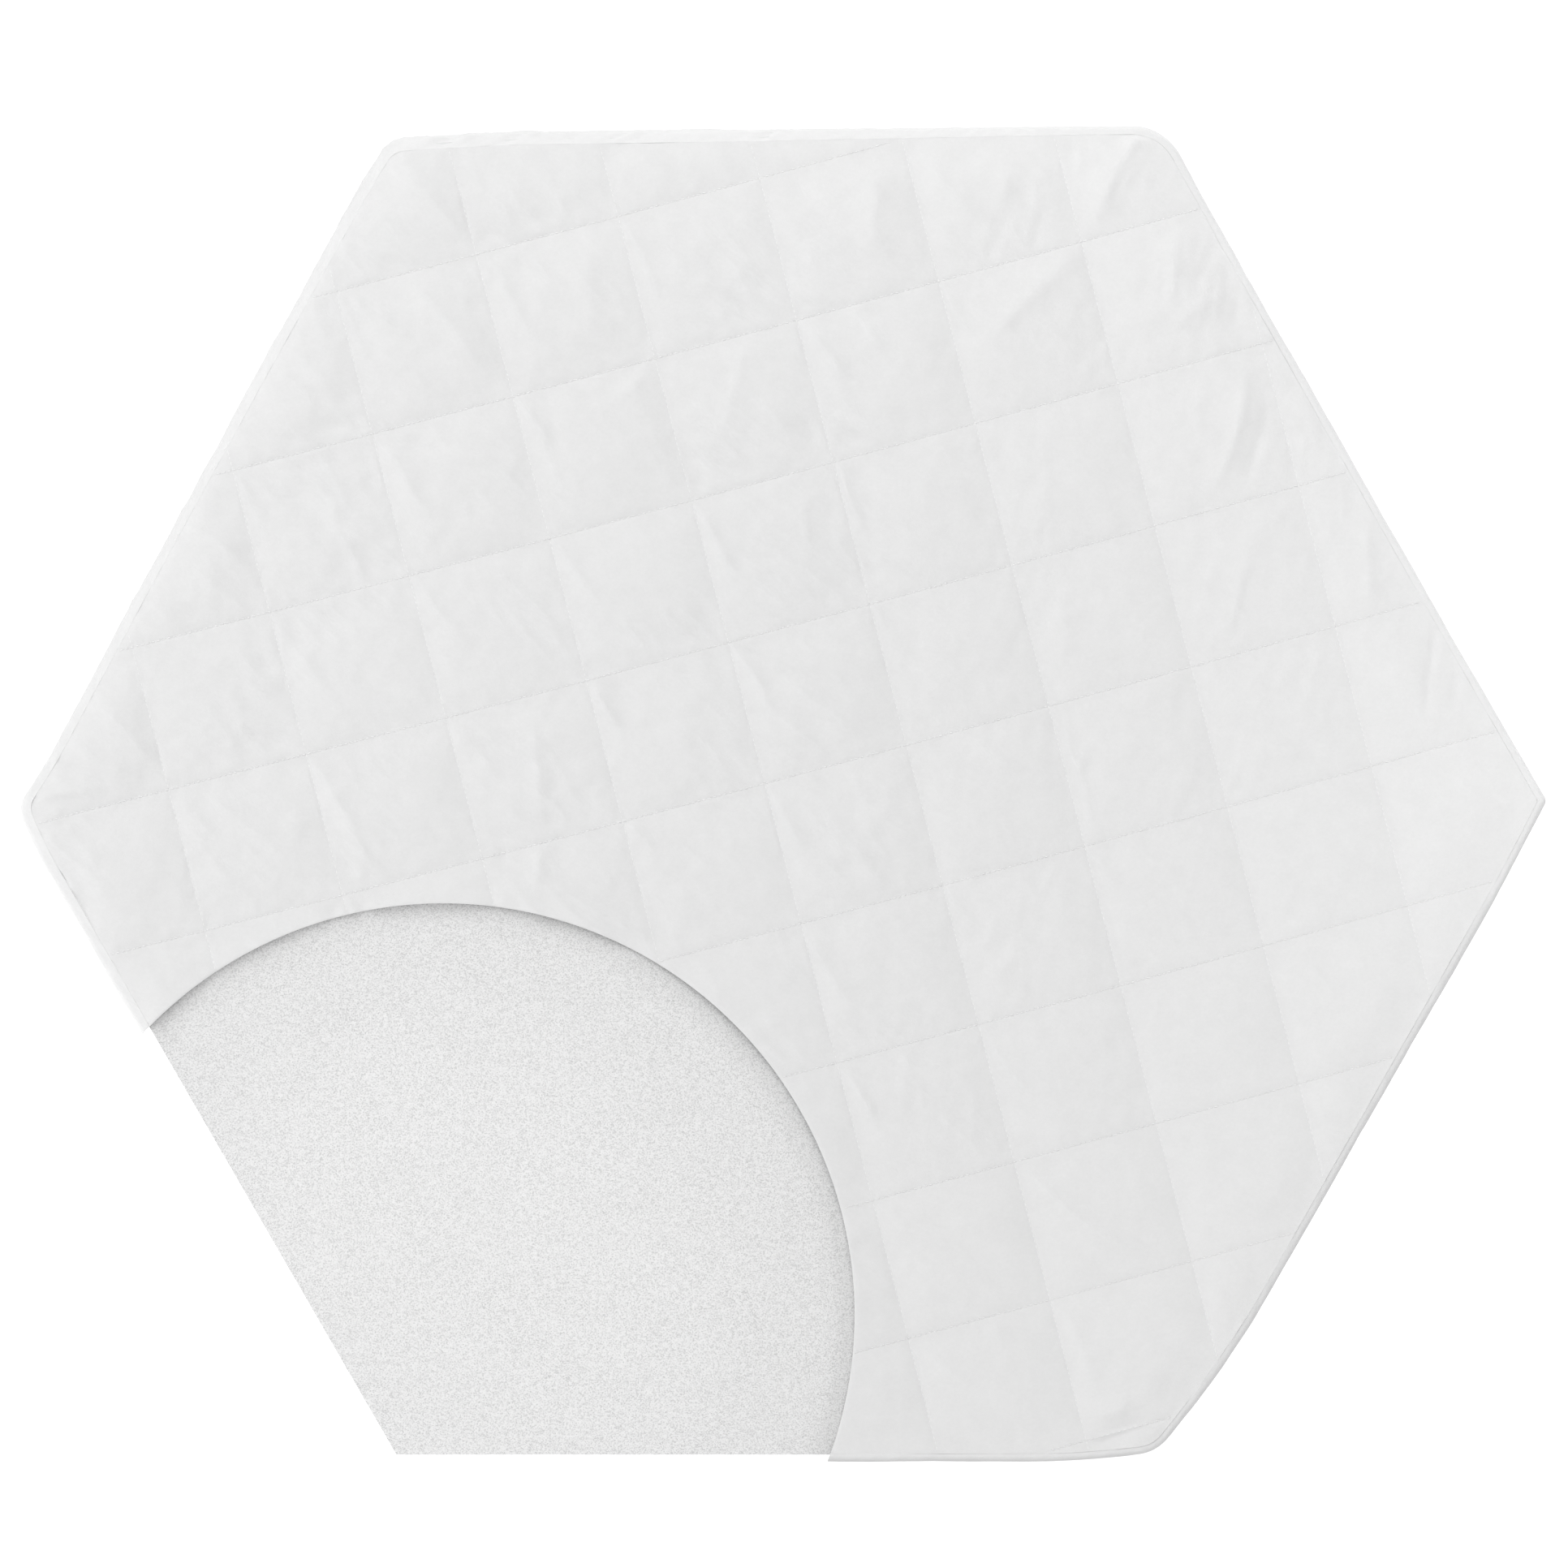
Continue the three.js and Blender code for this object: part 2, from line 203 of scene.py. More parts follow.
# Fine creases, which run down and right on the left of the panel, and down and left on its right
CREASE_LEFT = np.array([0.6, -0.8])
CREASE_RIGHT = np.array([-0.5, -0.87])
CREASE_WIDTH = 14.0
CREASE_CLEAR = 14.0  # from the stitched lines, where they fade out
CREASE_LENGTH = 40.0
CREASE_WANDER = 60.0  # along a crease, for each width that it wanders aside
CREASE_DEPTH = 2.6
CREASE_SHARE_RIGHT = 0.5
CREASE_RIGHT_FROM, CREASE_RIGHT_OVER = -50.0, 300.0  # where the left creases give way to the right ones
CREASE_PATCH, CREASE_PATCH_SEED = 75.0, 4.9
CREASE_PATCH_MEAN, CREASE_PATCH_MOST = 0.45, 1.3

# Soft folds that the photograph shows on the panel: from and to, in squares right of and down from the
# quilt's start; half width and height in millimetres, where below zero is a hollow
FOLDS = [
    # upper left
    (-0.48, -2.97, -0.13, -2.18, 11, 1.7), (-0.95, -2.95, -0.60, -2.60, 7, 0.9),
    (-0.38, -3.72, -0.05, -3.10, 11, 1.5), (0.45, -3.85, 0.48, -3.45, 8, 0.8),
    (-1.78, -1.85, -1.36, -1.42, 9, -1.1), (-2.43, -1.74, -2.10, -1.38, 7, 1.3),
    (-2.41, -1.43, -2.14, -1.05, 8, 1.1), (-0.92, -1.97, -0.72, -1.28, 9, 1.6),
    (-1.40, -2.75, -1.10, -2.30, 9, 0.9), (-1.75, -2.05, -1.55, -1.80, 8, 0.7),
    (0.05, -1.95, 0.17, -1.62, 5, 1.2), (0.08, -2.90, 0.22, -2.30, 7, 0.8),
    (-0.95, -0.97, -0.70, -0.40, 8, 1.1), (-0.83, -2.60, -0.50, -2.15, 10, 0.7),
    # left
    (-3.32, -0.70, -3.04, -0.15, 8, 1.3), (-3.58, -0.51, -3.18, -0.11, 8, 1.2),
    (-3.93, -0.16, -3.45, -0.10, 6, 1.3), (-3.80, -0.34, -3.62, -0.16, 6, 1.0),
    (-2.95, 0.05, -2.78, 0.40, 7, 0.9), (-2.74, 0.20, -2.30, 0.62, 9, 0.8),
    (-2.22, 0.36, -2.14, 0.52, 9, 0.7), (-1.95, 0.04, -1.78, 0.85, 8, 1.1),
    (-1.95, -0.94, -1.74, -0.35, 8, 1.0), (-0.94, 0.05, -0.76, 0.50, 7, 1.0),
    (-0.42, 0.12, -0.56, 0.96, 9, 1.3), (-0.58, 1.02, -0.70, 1.36, 8, 1.2),
    (-2.62, -0.55, -2.44, -0.20, 9, 0.6), (-1.55, -0.45, -1.25, -0.20, 9, -0.6),
    # top
    (0.78, -2.90, 0.62, -2.30, 9, 0.6), (1.04, -2.95, 1.12, -2.30, 5, 1.0),
    (2.79, -2.90, 2.60, -2.25, 15, 1.9), (2.22, -2.92, 2.32, -2.74, 7, -0.9),
    (3.07, -2.95, 3.36, -2.30, 11, 1.3), (3.62, -2.62, 3.55, -2.30, 8, 0.8),
    (4.70, -2.72, 4.08, -2.05, 10, 2.0), (4.86, -2.40, 4.95, -2.20, 6, 1.0),
    (4.67, -1.94, 4.33, -1.28, 13, 1.4), (4.38, -1.25, 4.90, -1.43, 9, 1.0),
    (4.93, -1.40, 4.80, -1.12, 6, -0.9), (3.95, -1.93, 3.18, -1.50, 12, 1.8),
    (3.03, -1.96, 3.15, -1.55, 5, 0.8), (2.05, -1.97, 2.22, -1.42, 9, 1.5),
    (2.41, -1.97, 2.51, -1.62, 7, 1.1), (1.66, -1.97, 1.28, -1.30, 9, 1.1),
    (1.48, -1.75, 1.78, -1.20, 8, 0.7), (0.93, -1.92, 0.62, -1.80, 8, 0.9),
    (1.05, -0.96, 1.15, -0.42, 6, 1.2), (2.04, -0.95, 2.11, -0.42, 5, 1.6),
    (0.05, -0.96, 0.20, -0.52, 7, 1.1), (1.50, -0.70, 1.72, -0.30, 9, 0.5),
    # right
    (4.85, -0.82, 4.45, -0.14, 6, 1.7), (4.94, -0.62, 4.62, -0.06, 6, -1.0),
    (4.56, -0.92, 4.44, -0.45, 7, 0.7), (5.24, -0.62, 5.20, -0.10, 8, 0.8),
    (4.72, 0.12, 4.32, 0.78, 10, 1.0), (5.38, 0.33, 5.27, 0.93, 7, 1.1),
    (5.66, 1.18, 5.44, 1.80, 4, -1.2), (5.76, 1.48, 5.62, 1.78, 4, -0.8),
    (3.40, -0.62, 3.15, -0.15, 12, 0.6), (3.30, 0.25, 3.12, 0.80, 10, 0.7),
    (2.30, 0.10, 2.22, 0.55, 10, -0.7), (3.05, 1.25, 3.07, 1.95, 6, 0.9),
    (2.44, 1.07, 2.72, 1.40, 6, 0.9), (3.62, 1.10, 3.45, 1.55, 9, 0.5),
    # middle and low
    (0.04, 0.04, 0.16, 0.42, 5, 1.2), (1.04, 0.04, 1.16, 0.56, 5, 1.6),
    (1.30, 0.35, 1.72, 0.84, 8, 1.1), (1.18, 0.55, 1.42, 0.85, 7, 0.8),
    (0.48, 0.42, 0.82, 0.66, 9, 0.6), (0.03, 1.03, 0.16, 1.25, 5, 1.0),
    (1.05, 1.05, 1.18, 1.60, 9, 1.2), (1.30, 1.24, 1.62, 1.84, 8, 1.2),
    (1.06, 2.04, 1.24, 2.78, 9, 1.2), (1.05, 3.05, 1.17, 3.52, 6, 1.5),
    (1.06, 4.06, 1.24, 4.30, 10, 1.0), (2.07, 4.05, 2.66, 4.86, 8, 1.3),
    (2.05, 3.06, 2.25, 3.60, 7, 0.8), (1.10, 5.08, 1.32, 5.42, 9, 1.1),
    (1.60, 5.05, 1.62, 5.25, 8, 0.7), (2.08, 5.05, 2.16, 5.70, 8, 0.9),
    (4.26, 3.22, 4.40, 3.50, 5, 0.5), (3.03, 2.04, 3.14, 2.45, 7, 0.7),
    # the gathers at the lower right corner
    (2.02, 6.06, 2.46, 5.97, 7, -0.9), (2.25, 6.14, 2.60, 6.03, 7, 0.5),
    (2.10, 5.86, 2.36, 5.84, 6, 0.9), (2.62, 5.99, 2.72, 5.93, 3, -0.8),
]


# Outline of the cover, as in the source

def smooth(share):
    share = np.clip(share, 0, 1)
    return share * share * (3 - 2 * share)


def lerp(a, b, share):
    return a + (b - a) * share


def side_reach(side, t):
    turned = t * math.tan(math.radians(side["swing"]))
    bowed = side["bow"] * (1 - (t / HALF_SIDE) ** 2)
    first = side["first_pull"] * np.maximum(0, 1 - (HALF_SIDE + t) / side["first_over"]) ** PULL_POWER
    last = side["last_pull"] * np.maximum(0, 1 - (HALF_SIDE - t) / side["last_over"]) ** PULL_POWER
    return side["reach"] + turned + bowed - first - last


def outward(side):
    facing = math.radians(side["facing"])
    return np.array([math.cos(facing), math.sin(facing)])


def side_point(side, t, inset):
    out = outward(side)
    along = np.array([-out[1], out[0]])
    return np.multiply.outer(side_reach(side, t) - inset, out) + np.multiply.outer(t, along)


def corner_between(side, after, inset, inset_after):
    """Where two sides meet, as a place along each of them, and how much the rounding takes off."""
    on_side, on_after = HALF_SIDE, -HALF_SIDE
    cos_corner, sin_corner = math.cos(math.pi / 3), math.sin(math.pi / 3)
    for _ in range(4):
        reach = side_reach(side, on_side) - inset
        reach_after = side_reach(after, on_after) - inset_after
        on_side = (reach_after - reach * cos_corner) / sin_corner
        on_after = (reach_after * cos_corner - reach) / sin_corner
    cut = max(side["round"] - inset, SMALLEST_ROUND) * math.tan(math.pi / 6)
    return on_side, on_after, cut


def ring(at, inset_of, height_of):
    """Points round the mattress. The whole part of at is the side, and the rest how far along it."""
    count = len(SIDES)
    at = np.mod(at, count)
    corners = []
    for k, side in enumerate(SIDES):
        after = SIDES[(k + 1) % count]
        corners.append(corner_between(side, after, inset_of(side, 1.0), inset_of(after, 0.0)))

    def straight(k, share):
        side = SIDES[k % count]
        start = corners[k % count - 1][1] + corners[k % count - 1][2]
        end = corners[k % count][0] - corners[k % count][2]
        flat = side_point(side, lerp(start, end, share), inset_of(side, share))
        return np.column_stack([flat, np.broadcast_to(height_of(side, share), share.shape)])

    points = np.empty((len(at), 3))
    for k, side in enumerate(SIDES):
        here = np.floor(at) == k
        passed = at[here] - k
        placed = straight(k, np.minimum(passed / STRAIGHT_SHARE, 1))
        turning = passed > STRAIGHT_SHARE
        share = ((passed[turning] - STRAIGHT_SHARE) / (1 - STRAIGHT_SHARE))[:, None]
        first, last = straight(k, np.array([1.0]))[0], straight(k + 1, np.array([0.0]))[0]
        tip = np.append(side_point(side, corners[k][0], inset_of(side, 1.0)), (first[2] + last[2]) / 2)
        placed[turning] = (1 - share) ** 2 * first + 2 * share * (1 - share) * tip + share**2 * last
        points[here] = placed
    return points


def level(value):
    return lambda side, share: value + 0 * share


def seam_inset(side, share):
    """How far in from the edge the upper seam lies."""
    return lerp(side["first_seam"], side["last_seam"], np.sin(share * math.pi / 2))


def edge_look(side, share, fact):
    """A fact of the side's upper edge, which eases into the next side's at the corners."""
    at_start, at_end = smooth(1 - share / CORNER_SHARE), smooth(1 - (1 - share) / CORNER_SHARE)
    middle = side[fact]
    return middle + (side[fact + "_start"] - middle) * at_start + (side[fact + "_end"] - middle) * at_end


def edge_lean(side, share):
    return np.radians(edge_look(side, share, "lean"))


def edge_height(side, share, inset):
    """Height of the cloth that climbs from the edge's rounding to the seam."""
    over_padding = PANEL_BOTTOM + PADDING_CLEAR + edge_look(side, share, "lift")
    return over_padding + (inset - side["padding"]) * np.tan(edge_lean(side, share))


def rounding_end(side, share):
    return BAND_DRAWN_IN + edge_look(side, share, "radius") * (1 - np.sin(edge_lean(side, share)))


def rounding_start(side, share):
    end_height = edge_height(side, share, rounding_end(side, share))
    return end_height - edge_look(side, share, "radius") * np.cos(edge_lean(side, share))


def seam_height(side, share):
    return edge_height(side, share, seam_inset(side, share))


def crossings(inset_of):
    """Where a loop round the mattress meets the cutaway: after its start and before its end, in at."""
    at = np.linspace(3, 5, 2 * ROUGH_POINTS - 1)
    flat = ring(at, inset_of, level(0.0))[:, :2]
    clear = np.hypot(*(flat - CUTAWAY_CENTRE).T) - CUTAWAY_RADIUS
    first = np.argmax(clear < 0)
    last = len(at) - 1 - np.argmax(clear[::-1] < 0)

    def crossing(k):
        return at[k] + (at[k + 1] - at[k]) * clear[k] / (clear[k] - clear[k + 1])

    return crossing(last), crossing(first - 1) + len(SIDES)


outline = ring(np.linspace(0, 6, 6001), level(0.0), level(0.0))[:, :2]
outline = outline[np.hypot(*(outline - CUTAWAY_CENTRE).T) >= CUTAWAY_RADIUS]
MIDDLE = (outline.min(0) + outline.max(0)) / 2


# Places on the quilted panel

RIGHT_WAY = np.array([math.cos(ACROSS_TILT), math.sin(ACROSS_TILT)])
DOWN_WAY = np.array([math.sin(DOWN_TILT), -math.cos(DOWN_TILT)])


def stray(kind, line):
    return np.interp(line, STRAY_LINES, STRAYS[kind])


def sag(right):
    bent = ACROSS_SAG * (1 / 3 - ((right - SAG_MIDDLE) / SAG_HALF_SPAN) ** 2)
    return np.maximum(bent, -ACROSS_SAG)


def quilt_point(right, down):
    """The place of a point counted in squares to the right and down from the quilt's start."""
    along_right = right * SQUARE_ACROSS + stray("down", right)
    along_down = down * SQUARE_DOWN + stray("across", down) + sag(right)
    return QUILT_START + np.multiply.outer(along_right, RIGHT_WAY) + np.multiply.outer(along_down, DOWN_WAY)


def quilt_place(points):
    """The other way about: squares to the right and down, for places on the panel."""
    offset = points - QUILT_START
    area = RIGHT_WAY[0] * DOWN_WAY[1] - RIGHT_WAY[1] * DOWN_WAY[0]
    along_right = (offset[:, 0] * DOWN_WAY[1] - offset[:, 1] * DOWN_WAY[0]) / area
    along_down = (RIGHT_WAY[0] * offset[:, 1] - RIGHT_WAY[1] * offset[:, 0]) / area
    right, down = along_right / SQUARE_ACROSS, along_down / SQUARE_DOWN
    for _ in range(5):
        right = (along_right - stray("down", right)) / SQUARE_ACROSS
        down = (along_down - stray("across", down) - sag(right)) / SQUARE_DOWN
    return right, down


def inside(points, inset_of):
    """How far points lie inside the nearest side and its inset."""
    gaps = []
    for side in SIDES:
        out = outward(side)
        t = points[:, 1] * out[0] - points[:, 0] * out[1]
        share = np.clip((t + HALF_SIDE) / (2 * HALF_SIDE), 0, 1)
        gaps.append(side_reach(side, t) - points @ out - inset_of(side, share))
    return np.min(gaps, axis=0)


def from_cutaway(points):
    return np.hypot(*(points - CUTAWAY_CENTRE).T) - CUTAWAY_RADIUS


def lifted(points):
    """From 0 round the right of the cutaway to 1 at its upper left, where the cut edge stands up."""
    across, up = (points - CUTAWAY_CENTRE).T
    return smooth((np.degrees(np.arctan2(up, across)) - LIFTED_FROM) / LIFTED_OVER)


def scatter(column, row):
    """A fixed scatter from -0.5 to 0.5, so that no two squares are filled alike."""
    mixed = np.sin(column * 12.9898 + row * 78.233) * 43758.5453
    return mixed - np.floor(mixed) - 0.5


def lumps(across, up, seed):
    """Soft noise at places counted in lumps, from about -1 to 1."""
    flat = [noise.noise((a, b, seed)) for a, b in zip(np.ravel(across), np.ravel(up))]
    return NOISE_SPREAD * np.reshape(flat, np.shape(across))


def ridge(distance, half_width):
    """Section of a cloth fold: a rounded crest with flanks that ease out."""
    crest = FOLD_CREST * half_width
    return np.exp(-(np.hypot(distance, crest) - crest) / (FOLD_FLANK * half_width))


def beside_fold(points, start, end):
    """How far points lie along a fold and aside from it, and how long it is."""
    way = end - start
    length = np.hypot(*way)
    way /= length
    offset = points - start
    return offset @ way, offset[:, 0] * way[1] - offset[:, 1] * way[0], length


def fold(share, aside, half_width, ends):
    """How high a fold stands, as a share of its height, at shares of its length and aside from it."""
    past_start, past_end, start_rise, end_rise = ends
    fade = smooth((share + past_start) / start_rise) * smooth((1 + past_end - share) / end_rise)
    return fade * ridge(aside, half_width)


# Meshes

def mesh_object(name, points, faces, materials):
    mesh = bpy.data.meshes.new(name)
    places = (np.asarray(points, float) - [MIDDLE[0], MIDDLE[1], 0]) * MM
    mesh.from_pydata(places.tolist(), [], faces)
    for material in materials:
        mesh.materials.append(material)
    mesh.validate()
    mesh.shade_smooth()
    piece = bpy.data.objects.new(name, mesh)
    bpy.context.scene.collection.objects.link(piece)
    return piece


def triangulated(loop, inner):
    """Triangles that fill a loop, through points inside it, and the order of the points on its edge."""
    flat = [Vector(p) for p in np.vstack([loop, inner])]
    found, _, triangles, *_ = delaunay_2d_cdt(flat, [], [list(range(len(loop)))], 1, 1e-5)
    triangles = np.array([t for t in triangles if len(t) == 3])
    used, triangles = np.unique(triangles, return_inverse=True)
    triangles = triangles.reshape(-1, 3)
    places = np.array([found[k] for k in used])
    a, b, c = (places[triangles[:, k]] for k in range(3))
    clockwise = np.cross(b - a, c - a) < 0
    triangles[clockwise] = triangles[clockwise][:, ::-1]
    pairs = np.vstack([triangles[:, [0, 1]], triangles[:, [1, 2]], triangles[:, [2, 0]]])
    count = len(places)
    open_pairs = pairs[~np.isin(pairs[:, 0] * count + pairs[:, 1], pairs[:, 1] * count + pairs[:, 0])]
    after = dict(open_pairs.tolist())
    edge = [int(open_pairs[0, 0])]
    while after[edge[-1]] != edge[0]:
        edge.append(after[edge[-1]])
    return places, triangles, edge


def slab_object(name, loop, inner, top_of, levels, materials, wall_material=None):
    """A closed piece with a shaped top: walls go down from it through the levels to a flat underside.
    A level is a share of the way down, and the last one is a height for the underside."""
    places, triangles, edge = triangulated(loop, inner)
    top = top_of(places)
    points = [np.column_stack([places, top])]
    faces = triangles.tolist()
    ring_before = edge
    edge_flat, edge_top = places[edge], top[edge]
    *shares, underside = levels
    wall_start = len(faces)
    base = len(places)
    for share in [*shares, 1.0]:
        points.append(np.column_stack([edge_flat, lerp(edge_top, underside, share)]))
        ring_now = list(range(base, base + len(edge)))
        base += len(edge)
        for k in range(len(edge)):
            after = (k + 1) % len(edge)
            faces.append((ring_now[k], ring_now[after], ring_before[after], ring_before[k]))
        ring_before = ring_now
    faces.append(ring_before[::-1])
    piece = mesh_object(name, np.vstack(points), faces, materials)
    if wall_material is not None:
        slots = np.zeros(len(faces), int)
        middle = np.array([(edge_flat[k] + edge_flat[(k + 1) % len(edge)]) / 2 for k in range(len(edge))])
        cut = np.abs(from_cutaway(middle)) < ON_CUT
        for row in range(len(shares) + 1):
            start = wall_start + row * len(edge)
            slots[start:start + len(edge)][cut] = wall_material
        piece.data.polygons.foreach_set("material_index", slots.astype(np.int32))
    sharpen(piece)
    return piece


def sharpen(piece, angle=SHARP_ANGLE):
    """Keeps cut and sewn edges crisp, while the cloth between them is smooth."""
    mesh = piece.data
    count = len(mesh.edges)
    normals = np.empty(len(mesh.polygons) * 3)
    mesh.polygons.foreach_get("normal", normals)
    normals = normals.reshape(-1, 3)
    loop_edges = np.empty(len(mesh.loops), int)
    mesh.loops.foreach_get("edge_index", loop_edges)
    totals = np.empty(len(mesh.polygons), int)
    mesh.polygons.foreach_get("loop_total", totals)
    owners = np.repeat(np.arange(len(mesh.polygons)), totals)
    first, last = np.full(count, -1), np.full(count, -1)
    last[loop_edges] = owners
    first[loop_edges[::-1]] = owners[::-1]
    sharp = (normals[first] * normals[last]).sum(1) < math.cos(angle)
    attribute = mesh.attributes.get("sharp_edge") or mesh.attributes.new("sharp_edge", "BOOLEAN", "EDGE")
    attribute.data.foreach_set("value", sharp)


def places_of(piece):
    """Where a piece's points lie, in metres."""
    places = np.empty(len(piece.data.vertices) * 3)
    piece.data.vertices.foreach_get("co", places)
    return places.reshape(-1, 3)


def flat_places(piece):
    """Where a piece's points lie in plan, in the CAD's frame and millimetres."""
    return places_of(piece)[:, :2] / MM + MIDDLE


def mark(piece, name, values):
    """Gives each of a piece's points a value that its finish reads."""
    piece.data.attributes.new(name, "FLOAT", "POINT").data.foreach_set("value", values)


def outer_loop(inset_of):
    """The flat loop of a panel that the cutaway bites into: round the mattress, then back along the bite."""
    start, end = crossings(inset_of)
    rough_at = np.linspace(start, end, ROUGH_POINTS)
    rough = ring(rough_at, inset_of, level(0.0))[:, :2]
    passed = np.concatenate([[0], np.cumsum(np.hypot(*np.diff(rough, axis=0).T))])
    at = np.interp(np.linspace(0, passed[-1], int(passed[-1] / LOOP_STEP)), passed, rough_at)
    sides = ring(at, inset_of, level(0.0))[:, :2]
    from_angle, to_angle = (
        math.atan2(*(point - CUTAWAY_CENTRE)[::-1]) for point in (sides[-1], sides[0])
    )
    bites = int(abs(to_angle - from_angle) * CUTAWAY_RADIUS / LOOP_STEP)
    angles = np.linspace(from_angle, to_angle, bites + 1)[1:-1]
    bite = CUTAWAY_CENTRE + CUTAWAY_RADIUS * np.column_stack([np.cos(angles), np.sin(angles)])
    return np.vstack([sides, bite])


def grid_over(loop, step):
    """Places on a square grid over a flat loop."""
    x, y = np.meshgrid(*(np.arange(low, high, step) for low, high in zip(loop.min(0), loop.max(0))))
    return np.column_stack([x.ravel(), y.ravel()])


def tree_of(points):
    """A tree that finds the nearest of some points in plan."""
    tree = kdtree.KDTree(len(points))
    for number, spot in enumerate(points):
        tree.insert((spot[0], spot[1], 0), number)
    tree.balance()
    return tree


def nearest_in(tree, points):
    """How far the nearest point in a tree is from each place, and its number."""
    hits = [tree.find((x, y, 0)) for x, y in points]
    return np.array([hit[2] for hit in hits]), np.array([hit[1] for hit in hits])


# Quilted panel

def edge_inset(side, share):
    return seam_inset(side, share) + EDGE_CLEAR


seam_at = np.linspace(0, 6, 6601)[:-1]
seam_line = ring(seam_at, edge_inset, seam_height)
seam_swell, seam_tuck = (
    ring(seam_at, edge_inset, lambda side, share, fact=fact: edge_look(side, share, fact))[:, 2]
    for fact in ("swell", "tuck")
)
seam_tree = tree_of(seam_line)


def liveliness(points):
    """From 1 where the cloth is much creased down to 0.35 in the calm lower right."""
    return 1 - CALM_SHARE * smooth((points - CALM_FROM) @ CALM_WAY / CALM_OVER)


def round_sides(at, values):
    """Goes evenly from each side's value to the next one's, round the mattress."""
    return np.interp(np.mod(at, len(SIDES)), range(len(SIDES) + 1), [*values, values[0]])


def from_lines(right, down):
    """How far places lie from the nearest line that runs down, and from the nearest that runs across."""
    return (right - np.round(right)) * SQUARE_ACROSS, (down - np.round(down)) * SQUARE_DOWN


def filled_squares(points, right, down, to_seam, seam_number):
    """Height of the filled squares, which come down to the seam at the panel's edge."""
    column, row = np.floor(right), np.floor(down)
    filled = 1 + UNEVENNESS * scatter(column, row)
    crown = SQUARE_CROWN * lerp(*CROWN_SHARES, smooth((points[:, 0] - CROWN_FROM) / CROWN_OVER))
    crown *= 1 - EDGE_FLATTENING * (1 - np.clip(to_seam / EDGE_FADE, 0, 1)) ** 2
    held_down = lerp(*HELD_SHARES, smooth((points @ HELD_WAY - HELD_FROM) / HELD_OVER))
    pillow = 1 - held_down + held_down * filled * (1 - np.abs(2 * (down - row) - 1) ** PILLOW_POWER)
    pillow *= 1 - np.abs(2 * (right - column) - 1) ** STEEP_POWER
    rise_over = round_sides(seam_at[seam_number] - SIDE_MIDDLE, [side["rise_over"] for side in SIDES])
    rise = 1 - (1 - np.clip(to_seam / rise_over, 0, 1)) ** RISE_POWER
    swell = (1 - np.exp(-to_seam / SWELL_OVER)) * np.exp(-to_seam / SWELL_FADES)
    stitched = lerp(seam_line[seam_number, 2], STITCHED_HEIGHT + crown * pillow, rise)
    return stitched + seam_swell[seam_number] * swell


def placed_folds(points):
    folds = np.zeros(len(points))
    for right_a, down_a, right_b, down_b, half_width, fold_height in FOLDS:
        start, end = quilt_point(np.array([right_a, right_b]), np.array([down_a, down_b]))
        along, aside, length = beside_fold(points, start, end)
        near = np.abs(along - length / 2) < length / 2 + FOLD_PAST * half_width
        near &= np.abs(aside) < FOLD_ASIDE * half_width
        share = along[near] / length
        bend = FOLD_BEND * length * np.sin(share * math.pi) * scatter(right_a * 7, down_b * 5)
        folds[near] += FOLD_RELIEF * fold_height * fold(share, aside[near] - bend, half_width, FOLD_ENDS)
    return folds


def small_folds(points):
    """Small folds that run down and right from where the stitched lines cross."""
    folds = np.zeros(len(points))
    drawn = random.Random(SEED)
    for column in range(FIRST_SQUARE + 1, FIRST_SQUARE + SQUARES):
        for row in range(FIRST_SQUARE, FIRST_SQUARE + SQUARES):
            lean, drop = drawn.uniform(*SMALL_FOLD_LEAN), drawn.uniform(*SMALL_FOLD_DROP)
            height, half_width = drawn.uniform(*SMALL_FOLD_HEIGHT), drawn.uniform(*SMALL_FOLD_HALF_WIDTH)
            start, end = quilt_point(
                column + np.array([SMALL_FOLD_START, lean]), row + np.array([SMALL_FOLD_START, drop]),
            )
            along, aside, length = beside_fold(points, start, end)
            near = np.hypot(along - length / 2, aside) < length
            folds[near] += height * fold(along[near] / length, aside[near], half_width, SMALL_FOLD_ENDS)
    return folds


def line_puckers(right, down):
    """Puckers that the thread draws up across the stitched lines."""
    from_down_line, from_across_line = from_lines(right, down)
    puckers = np.zeros(len(right))
    for aside, passed, seed in (
        (from_down_line, down * SQUARE_DOWN, 3.1), (from_across_line, right * SQUARE_ACROSS, 7.7),
    ):
        drawn_up = np.exp(-np.abs(aside) / PUCKER_FADES) * smooth(np.abs(aside) / PUCKER_FROM)
        shifted = passed / PUCKER_SPACING + np.sign(aside) * PUCKER_SHIFT
        puckers += PUCKER_HEIGHT * drawn_up * lumps(shifted, aside / PUCKER_RUN, seed)
    return puckers


def seam_puckers(at, to_seam):
    drawn_up = np.exp(-to_seam / SEAM_PUCKER_FADES) * smooth(to_seam / SEAM_PUCKER_FROM)
    passed = at * SIDE_LENGTH / SEAM_PUCKER_SPACING + to_seam / SEAM_PUCKER_SLANT
    height = round_sides(at - SIDE_MIDDLE, SEAM_PUCKERS)
    return height * drawn_up * lumps(passed, to_seam / SEAM_PUCKER_RUN, 1.3)


def wadding_lumps(points):
    height = np.zeros(len(points))
    for rise, size, seed, creased in WADDING_LUMPS:
        found = lumps(points[:, 0] / size, points[:, 1] / size, seed)
        height += rise * (np.abs(found) if creased else found)
    return height


